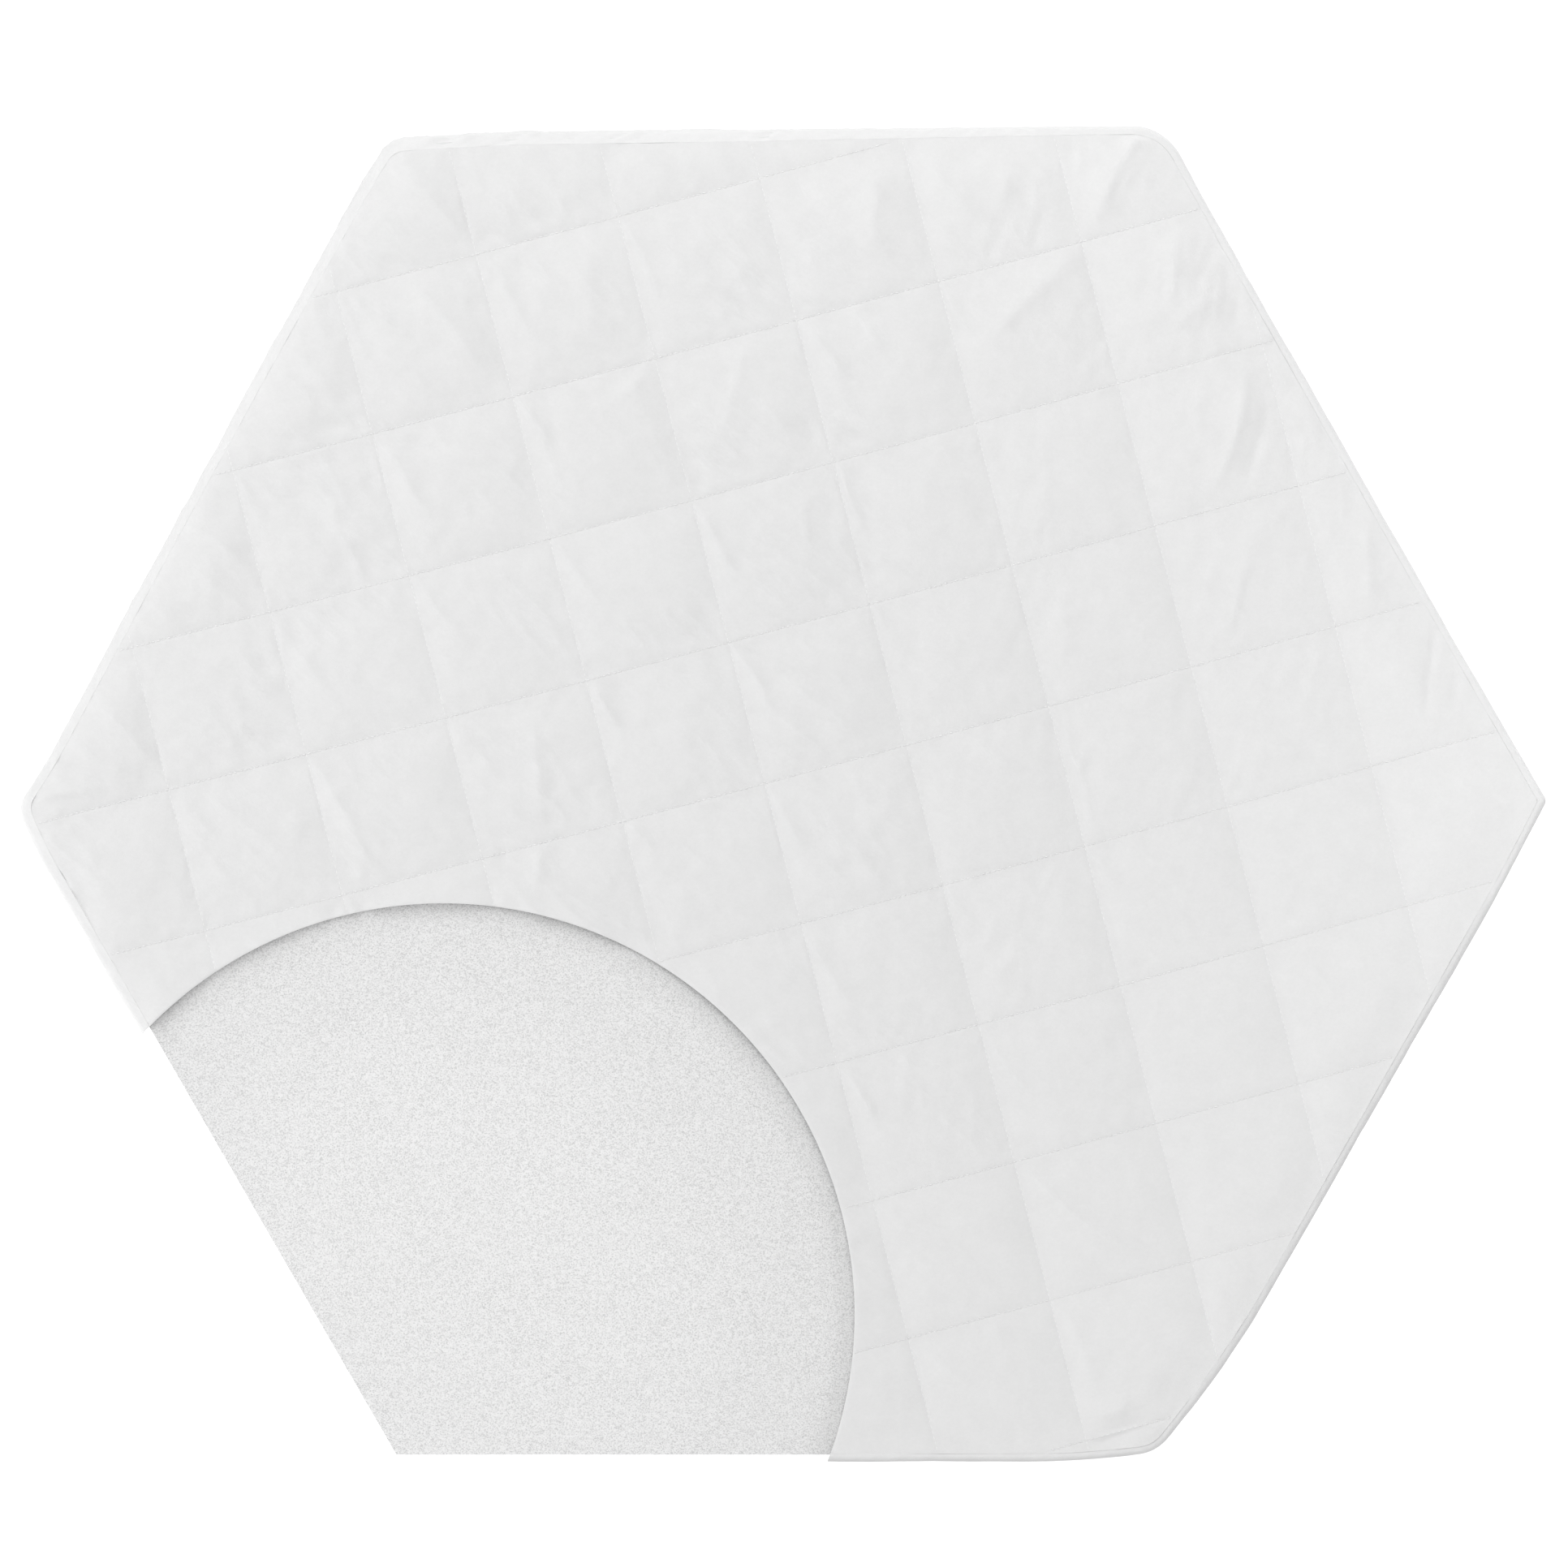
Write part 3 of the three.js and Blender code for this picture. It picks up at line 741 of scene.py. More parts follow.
def creases(points):
    """Depth of the fine creases, which come and go in patches."""
    to_right = smooth((points[:, 0] - CREASE_RIGHT_FROM) / CREASE_RIGHT_OVER)
    patches = lumps(points[:, 0] / CREASE_PATCH, points[:, 1] / CREASE_PATCH, CREASE_PATCH_SEED)
    patchy = np.clip(CREASE_PATCH_MEAN + patches, 0, CREASE_PATCH_MOST)
    depth = np.zeros(len(points))
    for way, share, seed in (
        (CREASE_LEFT, 1 - to_right, 3.7), (CREASE_RIGHT, CREASE_SHARE_RIGHT * to_right, 6.3),
    ):
        lengthways, crossways = points @ way, points[:, 0] * way[1] - points[:, 1] * way[0]
        wandered = crossways / CREASE_WIDTH + lengthways / CREASE_WANDER
        depth += CREASE_DEPTH * share * patchy * np.abs(lumps(wandered, lengthways / CREASE_LENGTH, seed))
    return depth


def quilt_surface(points):
    """Height of the quilted panel's upper face."""
    right, down = quilt_place(points)
    from_down_line, from_across_line = np.abs(from_lines(right, down))
    near_line = np.minimum(from_down_line, from_across_line)
    to_seam, seam_number = nearest_in(seam_tree, points)
    lively = liveliness(points)
    held = smooth(near_line / LINE_HOLDS) * smooth(to_seam / SEAM_HOLDS)

    height = filled_squares(points, right, down, to_seam, seam_number)
    height += held * (placed_folds(points) + lively * (small_folds(points) + wadding_lumps(points)))
    height += lively * line_puckers(right, down)
    height += seam_puckers(seam_at[seam_number], to_seam)
    height -= lively * smooth(near_line / CREASE_CLEAR) * creases(points)

    # the grooves that the thread and the seam pull, and the cut edge
    height -= NOTCH_DEPTH * np.exp(-((from_down_line / NOTCH_WIDTH) ** NOTCH_POWER))
    height -= NOTCH_DEPTH * np.exp(-((from_across_line / NOTCH_WIDTH) ** NOTCH_POWER))
    height -= seam_tuck[seam_number] * np.exp(-to_seam / SEAM_DIP_OVER)
    from_cut = np.abs(from_cutaway(points))
    height += CUT_LIP * lifted(points) * np.exp(-((from_cut / CUT_LIP_OVER) ** CUT_LIP_POWER))
    height -= CUT_EDGE_DIP * np.exp(-from_cut / CUT_EDGE_OVER)
    return height


def quilt_grid():
    """Places on the panel that follow the stitched lines, closer together beside them."""
    cuts = []
    for size in (SQUARE_ACROSS, SQUARE_DOWN):
        beside = np.array(LINE_OFFSETS)
        steps = math.ceil((size - 2 * beside[-1]) / OPEN_STEP)
        middle = np.linspace(beside[-1], size - beside[-1], steps + 1)[1:-1]
        one = np.concatenate([beside, middle, size - beside[:0:-1]]) / size
        cuts.append(np.concatenate([FIRST_SQUARE + k + one for k in range(SQUARES)]))
    right, down = (grid.ravel() for grid in np.meshgrid(*cuts))
    points = quilt_point(right, down)
    clear = (inside(points, seam_inset) > GAP + RIM_CLEAR) & (from_cutaway(points) > RIM_CLEAR)
    return points[clear]


def quilted_panel(materials):
    round_bite = np.column_stack([np.cos(BITE_ANGLES), np.sin(BITE_ANGLES)])
    rows = [quilt_grid()]
    for inward in RIM_ROWS:
        row = outer_loop(lambda side, share: edge_inset(side, share) + inward)
        rows.append(row[from_cutaway(row) > inward])
        beside_bite = CUTAWAY_CENTRE + (CUTAWAY_RADIUS + inward) * round_bite
        rows.append(beside_bite[inside(beside_bite, seam_inset) > GAP + inward + 1])
    piece = slab_object(
        "quilted_top", outer_loop(edge_inset), np.vstack(rows), quilt_surface,
        (*CUT_WALL_SHARES, PANEL_BOTTOM), materials, wall_material=1,
    )
    # Shade painted into the cloth's colour along the grooves of the stitched lines
    near_line = np.min(np.abs(from_lines(*quilt_place(flat_places(piece)))), axis=0)
    mark(piece, GROOVE_SHADE, np.exp(-((near_line / GROOVE_SHADE_OVER) ** 2)))
    return piece


# Foam slab

FOAM_DIP = 1.6  # the cover presses the foam down at the edge of the cutaway
FOAM_DIP_OVER = 24.0
FOAM_DIP_POWER = 1.3
FOAM_SAG = 0.25
FOAM_SAG_SIZE = 60.0
FOAM_WALL_SHARES = (0.02, 0.5)
FOAM_CLEAR = 3.0  # between its edge and the points inside it
# Grids of points on the foam, finer where it shows: step, and from and to how far out of the cutaway
FOAM_GRIDS = ((5.0, -70.0, -2.0), (9.0, -math.inf, -70.0), (30.0, 6.0, math.inf))
COVER_SHADOW = "painted_cover_shadow"  # painted shadow of the cover's cut edge on the foam: from 1 at the edge of the cutaway down to 0 in its middle
COVER_SHADOW_OVER = 15.0
COVER_SHADOW_FAR = 110.0
COVER_SHADOW_FAR_SHARE = 0.35
COVER_SHADOW_DEPTH = 0.17  # how dark the painted shadow is at the cutaway's edge


def foam_surface(points):
    inward = np.maximum(-from_cutaway(points), 0)
    pressed = FOAM_DIP * (1 - lifted(points))
    height = FOAM_TOP - pressed * np.exp(-((inward / FOAM_DIP_OVER) ** FOAM_DIP_POWER))
    height += FOAM_SAG * (lumps(points[:, 0] / FOAM_SAG_SIZE, points[:, 1] / FOAM_SAG_SIZE, 2.2) - 1)
    return height


def padding_inset(side, share):
    return side["padding"] + 0 * share


def foam_slab(materials):
    at = np.linspace(0, 6, 1501)[:-1]
    loop = ring(at, lambda side, share: padding_inset(side, share) + GAP, level(0.0))[:, :2]
    grids = []
    for step, least, most in FOAM_GRIDS:
        grid = grid_over(loop, step)
        beyond = from_cutaway(grid)
        grids.append(grid[(beyond > least) & (beyond <= most)])
    inner = np.vstack(grids)
    inner = inner[inside(inner, padding_inset) > FOAM_CLEAR]
    levels = (*FOAM_WALL_SHARES, FOAM_BOTTOM)
    piece = slab_object("foam_slab", loop, inner, foam_surface, levels, materials)
    # The painted shadow of the cover's cut edge: a narrow dark band beside the cutaway and a broad faint one
    inward = np.maximum(-from_cutaway(flat_places(piece)), 0)
    far = COVER_SHADOW_FAR_SHARE * np.exp(-((inward / COVER_SHADOW_FAR) ** 2))
    mark(piece, COVER_SHADOW, far + (1 - COVER_SHADOW_FAR_SHARE) * np.exp(-((inward / COVER_SHADOW_OVER) ** 2)))
    return piece


# Bottom cloth

BOTTOM_STEP = 7.0
BOTTOM_CLEAR = 2.0  # between its edge and the points inside it
BOTTOM_LOOP_STEP = 2.9  # between the points on its edge
# How far its underside lifts off the floor, in mm: everywhere, in the puckers and ripples, and at its seam
BOTTOM_LIFT, BOTTOM_LEAST_LIFT = 0.45, 0.02
BOTTOM_PUCKER, BOTTOM_PUCKER_SPACING, BOTTOM_PUCKER_RUN, BOTTOM_PUCKER_FADES = 0.3, 14.0, 30.0, 16.0
BOTTOM_RIPPLE, BOTTOM_RIPPLE_ACROSS, BOTTOM_RIPPLE_UP = 0.16, 55.0, 90.0
BOTTOM_SEAM_LIFT, BOTTOM_SEAM_OVER = 0.5, 2.0


def bottom_loop():
    """The bottom cloth's edge, which is sewn inside the turned edge of the band."""
    return ring(np.linspace(0, 6, 1201)[:-1], level(TURNED_UNDER + GAP), level(0.0))[:, :2]


def bottom_cloth(materials):
    """It is made upside down, then turned over."""
    loop = bottom_loop()
    inner = grid_over(loop, BOTTOM_STEP)
    inner = inner[inside(inner, level(TURNED_UNDER)) > BOTTOM_CLEAR]
    tree = tree_of(loop)

    def surface(points):
        to_seam, number = nearest_in(tree, points)
        passed = number * BOTTOM_LOOP_STEP / BOTTOM_PUCKER_SPACING
        puckers = np.exp(-to_seam / BOTTOM_PUCKER_FADES) * lumps(passed, to_seam / BOTTOM_PUCKER_RUN, 4.4)
        ripples = lumps(points[:, 0] / BOTTOM_RIPPLE_ACROSS, points[:, 1] / BOTTOM_RIPPLE_UP, 8.8)
        lift = BOTTOM_LIFT + BOTTOM_PUCKER * puckers + BOTTOM_RIPPLE * ripples
        lift += BOTTOM_SEAM_LIFT * np.exp(-to_seam / BOTTOM_SEAM_OVER)
        return BOTTOM_CLOTH - np.maximum(lift, BOTTOM_LEAST_LIFT)

    piece = slab_object("bottom_cloth", loop, inner, surface, (0.5, 0.0), materials)
    places = places_of(piece)
    places[:, 2] = BOTTOM_CLOTH * MM - places[:, 2]
    piece.data.vertices.foreach_set("co", places.ravel())
    piece.data.flip_normals()
    piece.data.update()
    return piece


# Side band

BAND_STEP = 2.4
BAND_SIDE_LENGTH = 600.0
BOTTOM_ROWS, WALL_ROWS, EDGE_ROWS = 7, 14, 9  # round its lower edge, up its side and round its upper edge
SEAM_SHARES = (0.25, 0.5, 0.75, 1.0)  # of the way from the upper edge to the seam
TUCK_POWER = 14
UNDER_FREE, LOW_FREE, SEAM_FREE = 0.2, 0.3, 0.25  # how freely the cloth moves there
# The hidden edge that passes down behind the seam, in mm
TURNED_IN, TURNED_DOWN, TURNED_CLEAR = 0.12, 0.8, 0.1
ENDS_OVER = 0.12  # of the count for one side, over which the rows are fitted to the cutaway
# How lively the pull wrinkles are at the start of each side, in mm
BAND_WRINKLES = [0.2, 0.5, 1.3, 0.6, 0.15, 0.25]
WRINKLE_SLANT = math.radians(62)
# Their size aside and along in mm, and so for the finer ones and the slow waves
WRINKLE, FINE_WRINKLE, SLOW_WAVE = (6.5, 30.0), (3.0, 16.0), (70.0, 60.0)
FINE_SHARE = 0.4
SLOW_HEIGHT, DRAWN_IN = 0.5, 0.2


def band_rows():
    """Rows of the band's section, up the outside and down the inside: inset, height, and how freely the
    cloth moves there."""
    quarter = math.pi / 2
    halfway_under = (TURNED_UNDER + BAND_DRAWN_IN + BOTTOM_ROUNDING) / 2
    rows = [(level(TURNED_UNDER), level(0.0), 0.0), (level(halfway_under), level(0.0), UNDER_FREE)]
    for share in np.linspace(0, 1, BOTTOM_ROWS):
        turn = share * quarter
        inset = BAND_DRAWN_IN + BOTTOM_ROUNDING * (1 - math.sin(turn))
        height = BOTTOM_ROUNDING * (1 - math.cos(turn))
        rows.append((level(inset), level(height), lerp(LOW_FREE, 1.0, share)))
    for share in np.linspace(0, 1, WALL_ROWS)[1:-1]:
        def wall_height(side, passed, share=share):
            return lerp(BOTTOM_ROUNDING, rounding_start(side, passed), share)
        rows.append((level(BAND_DRAWN_IN * (2 * share - 1) ** 2), wall_height, 1.0))
    for share in np.linspace(0, 1, EDGE_ROWS):
        def inset(side, passed, share=share):
            turn = share * (quarter - edge_lean(side, passed))
            return BAND_DRAWN_IN + edge_look(side, passed, "radius") * (1 - np.cos(turn))

        def height(side, passed, share=share):
            turn = share * (quarter - edge_lean(side, passed))
            return rounding_start(side, passed) + edge_look(side, passed, "radius") * np.sin(turn)
        rows.append((inset, height, 1.0))
    for share in SEAM_SHARES:
        def inset(side, passed, share=share):
            return lerp(rounding_end(side, passed), seam_inset(side, passed), share)

        def height(side, passed, share=share, inset=inset):
            tuck = edge_look(side, passed, "tuck") * share**TUCK_POWER
            return edge_height(side, passed, inset(side, passed)) - tuck
        rows.append((inset, height, 1.0 if share < 1 else SEAM_FREE))
    rows += [
        (
            lambda side, passed: seam_inset(side, passed) + TURNED_IN,
            lambda side, passed: seam_height(side, passed) - TURNED_DOWN, 0.0,
        ),
        (seam_inset, level(PANEL_BOTTOM - TURNED_CLEAR), 0.0),
        (padding_inset, level(PANEL_BOTTOM - TURNED_CLEAR), 0.0),
        (padding_inset, level(BOTTOM_CLOTH), 0.0),
        (level(TURNED_UNDER), level(BOTTOM_CLOTH), 0.0),
    ]
    return rows


def side_band(materials):
    rows = band_rows()
    start, end = crossings(level(0.0))
    count = int((end - start) * BAND_SIDE_LENGTH / BAND_STEP)
    shared = np.linspace(start, end, count)
    near_start = smooth(1 - (shared - start) / ENDS_OVER)
    near_end = smooth(1 - (end - shared) / ENDS_OVER)
    section = []
    for inset_of, height_of, _ in rows:
        row_start, row_end = crossings(inset_of)
        at = shared + (row_start - start) * near_start + (row_end - end) * near_end
        section.append(ring(at, inset_of, height_of))
    section = np.array(section)

    # pull wrinkles, along the cloth's own length and height
    along = np.gradient(section, axis=1)
    out = np.cross(along, np.gradient(section, axis=0))
    out /= np.maximum(np.linalg.norm(out, axis=2, keepdims=True), 1e-9)
    steps_up = np.linalg.norm(np.diff(section, axis=0), axis=2)
    climbed = np.concatenate([np.zeros((1, count)), np.cumsum(steps_up, axis=0)])
    passed = np.broadcast_to(np.cumsum(np.linalg.norm(along[0], axis=1)), climbed.shape)
    free = np.array([row[2] for row in rows])[:, None]
    lively = np.interp(np.mod(shared, 6), range(7), BAND_WRINKLES + BAND_WRINKLES[:1])[None, :]
    slanted = passed * math.cos(WRINKLE_SLANT) - climbed * math.sin(WRINKLE_SLANT)
    lengthways = passed * math.sin(WRINKLE_SLANT) + climbed * math.cos(WRINKLE_SLANT)
    wrinkles = lumps(slanted / WRINKLE[0], lengthways / WRINKLE[1], 6.1)
    fine = lumps(slanted / FINE_WRINKLE[0], lengthways / FINE_WRINKLE[1], 2.6)
    slow = lumps(passed / SLOW_WAVE[0], climbed / SLOW_WAVE[1], 3.9)
    moved = free * (lively * (wrinkles + FINE_SHARE * fine) + SLOW_HEIGHT * slow - DRAWN_IN)
    section += out * moved[:, :, None]
    section[:, :, 2] = np.maximum(section[:, :, 2], 0)

    height = len(rows)
    faces = []
    for k in range(height):
        above = (k + 1) % height
        for j in range(count - 1):
            faces.append((k * count + j, k * count + j + 1, above * count + j + 1, above * count + j))
    faces.append([k * count for k in range(height)])
    faces.append([k * count + count - 1 for k in reversed(range(height))])
    piece = mesh_object("side_band_cover", section.reshape(-1, 3), faces, materials)
    slots = np.zeros(len(faces), np.int32)
    slots[-2:] = 1
    piece.data.polygons.foreach_set("material_index", slots)
    sharpen(piece, SHARP_ANGLE_OF_BAND)
    return piece


# Materials

def linear(hex_colour):
    """sRGB hex to Blender's linear colour."""
    parts = [int(hex_colour[k:k + 2], 16) / 255 for k in (1, 3, 5)]
    return (*(p / 12.92 if p <= 0.04045 else ((p + 0.055) / 1.055) ** 2.4 for p in parts), 1)


def add_node(tree, kind, settings=None, inputs=None, stops=()):
    """Adds a node, sets it up, and links the inputs that are given as sockets. The stops are those of a
    colour ramp, as place and hex colour."""
    node = tree.nodes.new(kind)
    for key, value in (settings or {}).items():
        setattr(node, key, value)
    for key, value in (inputs or {}).items():
        if isinstance(value, bpy.types.NodeSocket):
            tree.links.new(value, node.inputs[key])
        else:
            node.inputs[key].default_value = value
    for number, (place, colour) in enumerate(stops):
        elements = node.color_ramp.elements
        element = elements[number] if number < 2 else elements.new(place)
        element.position = place
        element.color = linear(colour)
    return node


def finish(name):
    """An empty material, and the tree that its finish goes in."""
    material = bpy.data.materials.new(name)
    material.use_nodes = True
    material.node_tree.nodes.clear()
    return material, material.node_tree


def darkened(tree, colour, marked, most):
    """A colour with shade painted in where a piece is marked. Inputs 6 and 7 are the mix's two colours."""
    value = add_node(tree, "ShaderNodeAttribute", {"attribute_name": marked}).outputs["Fac"]
    shade = add_node(tree, "ShaderNodeMath", {"operation": "MULTIPLY"}, {0: value, 1: most}).outputs[0]
    return add_node(
        tree, "ShaderNodeMix", {"data_type": "RGBA"},
        {"Factor": shade, 6: colour, 7: linear("#000000")},
    ).outputs[2]


WAVE = 2 * math.pi / 20  # scale of a wave texture whose waves are one unit long


def per_metre(size_in_mm):
    """Scale of a noise whose grains have this size."""
    return 1000 / size_in_mm


def woven_cloth(
    name, pale, shaded, thread, weave_turn, weave_depth, crumple_depth, sheen, quilted=False,
):
    """Plain woven cotton: matt and faintly fuzzy, an even white with a soft mottle where the yarn
    thickens and thins. Its threads are too fine to show, so they are drawn thicker."""
    material, tree = finish(name)
    place = add_node(tree, "ShaderNodeTexCoord").outputs["Object"]
    turned = add_node(tree, "ShaderNodeMapping", {}, {"Vector": place, "Rotation": (0, 0, weave_turn)})
    wave_scale = WAVE * per_metre(thread)
    threads = [
        add_node(
            tree, "ShaderNodeTexWave", {"bands_direction": way},
            {
                "Vector": turned.outputs[0], "Scale": wave_scale,
                "Distortion": 1.2, "Detail": 2.0, "Detail Scale": 1.5,
            },
        ).outputs["Fac"]
        for way in ("X", "Y")
    ]
    weave = add_node(
        tree, "ShaderNodeMath", {"operation": "MAXIMUM"}, {0: threads[0], 1: threads[1]},
    ).outputs[0]
    mottle = add_node(
        tree, "ShaderNodeTexNoise", {},
        {"Vector": place, "Scale": per_metre(17), "Detail": 5.0, "Roughness": 0.62},
    ).outputs["Fac"]
    slub = add_node(
        tree, "ShaderNodeTexNoise", {},
        {"Vector": place, "Scale": per_metre(2.4), "Detail": 3.0, "Roughness": 0.6},
    ).outputs["Fac"]
    mixed = add_node(
        tree, "ShaderNodeMix", {"data_type": "FLOAT"}, {"Factor": 0.45, "A": mottle, "B": slub},
    ).outputs["Result"]
    colour = add_node(
        tree, "ShaderNodeValToRGB", {}, {"Fac": mixed}, [(0.3, shaded), (0.7, pale)],
    ).outputs["Color"]
    # On the quilted panel, shade is painted along the grooves of the stitched lines
    if quilted:
        colour = darkened(tree, colour, GROOVE_SHADE, GROOVE_SHADE_DEPTH)
    crumple = add_node(
        tree, "ShaderNodeBump", {}, {"Height": slub, "Distance": crumple_depth * MM, "Strength": 1.0},
    ).outputs["Normal"]
    surface = add_node(
        tree, "ShaderNodeBump", {},
        {"Height": weave, "Distance": weave_depth * MM, "Strength": 1.0, "Normal": crumple},
    ).outputs["Normal"]
    shader = add_node(
        tree, "ShaderNodeBsdfPrincipled", {},
        {
            "Base Color": colour, "Roughness": 0.92, "IOR": 1.45, "Specular IOR Level": 0.25,
            "Sheen Weight": sheen, "Sheen Roughness": 0.6, "Normal": surface,
        },
    )
    add_node(tree, "ShaderNodeOutputMaterial", {}, {"Surface": shader.outputs[0]})
    return material


def open_cell_foam():
    """Polyurethane foam, cut with a blade: dead matt, with cut cells that catch and lose the light as a
    fine grain. The cells are drawn at about twice their size, so that they show."""
    material, tree = finish("cut_polyurethane_foam")
    place = add_node(tree, "ShaderNodeTexCoord").outputs["Object"]
    cells = add_node(
        tree, "ShaderNodeTexVoronoi", {"feature": "F1"},
        {"Vector": place, "Scale": per_metre(0.7), "Randomness": 1.0},
    )
    tone = add_node(tree, "ShaderNodeSeparateColor", {}, {"Color": cells.outputs["Color"]}).outputs[0]
    cloud = add_node(
        tree, "ShaderNodeTexNoise", {}, {"Vector": place, "Scale": per_metre(30), "Detail": 3.0},
    ).outputs["Fac"]
    mixed = add_node(
        tree, "ShaderNodeMix", {"data_type": "FLOAT"}, {"Factor": 0.08, "A": tone, "B": cloud},
    ).outputs["Result"]
    colour = add_node(
        tree, "ShaderNodeValToRGB", {}, {"Fac": mixed},
        [(0.0, "#D3D3D3"), (0.5, "#F6F6F6"), (1.0, "#FFFFFF")],
    ).outputs["Color"]
    # shadow of the cover's cut edge, painted into the foam's colour
    colour = darkened(tree, colour, COVER_SHADOW, COVER_SHADOW_DEPTH)
    surface = add_node(
        tree, "ShaderNodeBump", {},
        {"Height": cells.outputs["Distance"], "Distance": 0.15 * MM, "Strength": 1.0},
    ).outputs["Normal"]
    shader = add_node(
        tree, "ShaderNodeBsdfPrincipled", {},
        {"Base Color": colour, "Roughness": 1.0, "IOR": 1.5, "Specular IOR Level": 0.1, "Normal": surface},
    )
    add_node(tree, "ShaderNodeOutputMaterial", {}, {"Surface": shader.outputs[0]})
    return material


def cut_wadding():
    """Polyester wadding where the cover is cut: loose bright fibres in thin layers."""
    material, tree = finish("cut_polyester_wadding")
    place = add_node(tree, "ShaderNodeTexCoord").outputs["Object"]
    layered = add_node(tree, "ShaderNodeMapping", {}, {"Vector": place, "Scale": (1, 1, 5)}).outputs[0]
    fibres = add_node(
        tree, "ShaderNodeTexNoise", {},
        {"Vector": layered, "Scale": per_metre(3.5), "Detail": 6.0, "Roughness": 0.75},
    ).outputs["Fac"]
    colour = add_node(
        tree, "ShaderNodeValToRGB", {}, {"Fac": fibres}, [(0.32, "#DEDEDE"), (0.62, "#F6F6F6")],
    ).outputs["Color"]
    surface = add_node(
        tree, "ShaderNodeBump", {}, {"Height": fibres, "Distance": 0.7 * MM, "Strength": 1.0},
    ).outputs["Normal"]
    shader = add_node(
        tree, "ShaderNodeBsdfPrincipled", {},
        {"Base Color": colour, "Roughness": 0.95, "Sheen Weight": 0.3, "Normal": surface},
    )
    add_node(tree, "ShaderNodeOutputMaterial", {}, {"Surface": shader.outputs[0]})
    return material


def polyester_thread():
    """Spun polyester sewing thread: white, with the slight gloss of its twisted plies."""
    material, tree = finish("spun_polyester_thread")
    place = add_node(tree, "ShaderNodeTexCoord").outputs["Object"]
    plies = add_node(
        tree, "ShaderNodeTexWave", {"bands_direction": "DIAGONAL"},
        {"Vector": place, "Scale": WAVE * per_metre(0.7), "Distortion": 0.5},
    ).outputs["Fac"]
    colour = add_node(
        tree, "ShaderNodeValToRGB", {}, {"Fac": plies}, [(0.2, "#F4F4F4"), (0.8, "#FFFFFF")],
    ).outputs["Color"]
    surface = add_node(
        tree, "ShaderNodeBump", {}, {"Height": plies, "Distance": 0.1 * MM, "Strength": 1.0},
    ).outputs["Normal"]
    shader = add_node(
        tree, "ShaderNodeBsdfPrincipled", {},
        {"Base Color": colour, "Roughness": 0.55, "IOR": 1.54, "Sheen Weight": 0.15, "Normal": surface},
    )
    add_node(tree, "ShaderNodeOutputMaterial", {}, {"Surface": shader.outputs[0]})
    return material


def studio_floor():
    """A white light table: pale and matt, and bright enough to lose its shadows."""
    material, tree = finish("white_light_table")
    shader = add_node(
        tree, "ShaderNodeBsdfPrincipled", {},
        {
            "Base Color": linear("#A8A8A8"), "Roughness": 1.0, "Specular IOR Level": 0.0,
            "Emission Color": (1, 1, 1, 1), "Emission Strength": 1.0,
        },
    )
    add_node(tree, "ShaderNodeOutputMaterial", {}, {"Surface": shader.outputs[0]})
    return material


def lit_card(strength):
    """Plain white card with a light behind it."""
    material, tree = finish("lit_white_card")
    glow = add_node(tree, "ShaderNodeEmission", {}, {"Color": (1, 1, 1, 1), "Strength": strength}).outputs[0]
    add_node(tree, "ShaderNodeOutputMaterial", {}, {"Surface": glow})
    return material


# Quilting stitches, by Geometry Nodes

STITCH_PITCH = 4.2
STITCH_LENGTH = 3.3
STITCH_WIDTH = 0.75
STITCH_SIZES = {"Pitch": STITCH_PITCH, "Stitch length": STITCH_LENGTH, "Stitch width": STITCH_WIDTH}
STITCH_CLEAR = 2.5  # from the seam and the cutaway
FEWEST_ON_RUN = 5  # points, and how many squares apart they are
RUN_STEP = 0.018
STITCH_RISE_ACROSS = 0.3  # above the bottom of the groove, on the lines that run across
STITCH_RISE_DOWN = -0.18  # and on those that run down, which are pulled in deeper


def stitched_lines():
    """The quilting's lines on the panel, as runs of points that stay clear of its edges."""
    runs = []
    for line in range(FIRST_SQUARE, FIRST_SQUARE + SQUARES + 1):
        for runs_down in (True, False):
            passed = np.arange(FIRST_SQUARE, FIRST_SQUARE + SQUARES, RUN_STEP)
            fixed = np.full(len(passed), float(line))
            points = quilt_point(fixed, passed) if runs_down else quilt_point(passed, fixed)
            clear = inside(points, seam_inset) > GAP + STITCH_CLEAR
            clear &= from_cutaway(points) > STITCH_CLEAR
            breaks = np.flatnonzero(np.diff(clear.astype(int))) + 1
            for piece, open_here in zip(np.split(points, breaks), np.split(clear, breaks)):
                if open_here[0] and len(piece) >= FEWEST_ON_RUN:
                    rise = STITCH_RISE_DOWN if runs_down else STITCH_RISE_ACROSS
                    runs.append(np.column_stack([piece, quilt_surface(piece) + rise]))
    return runs


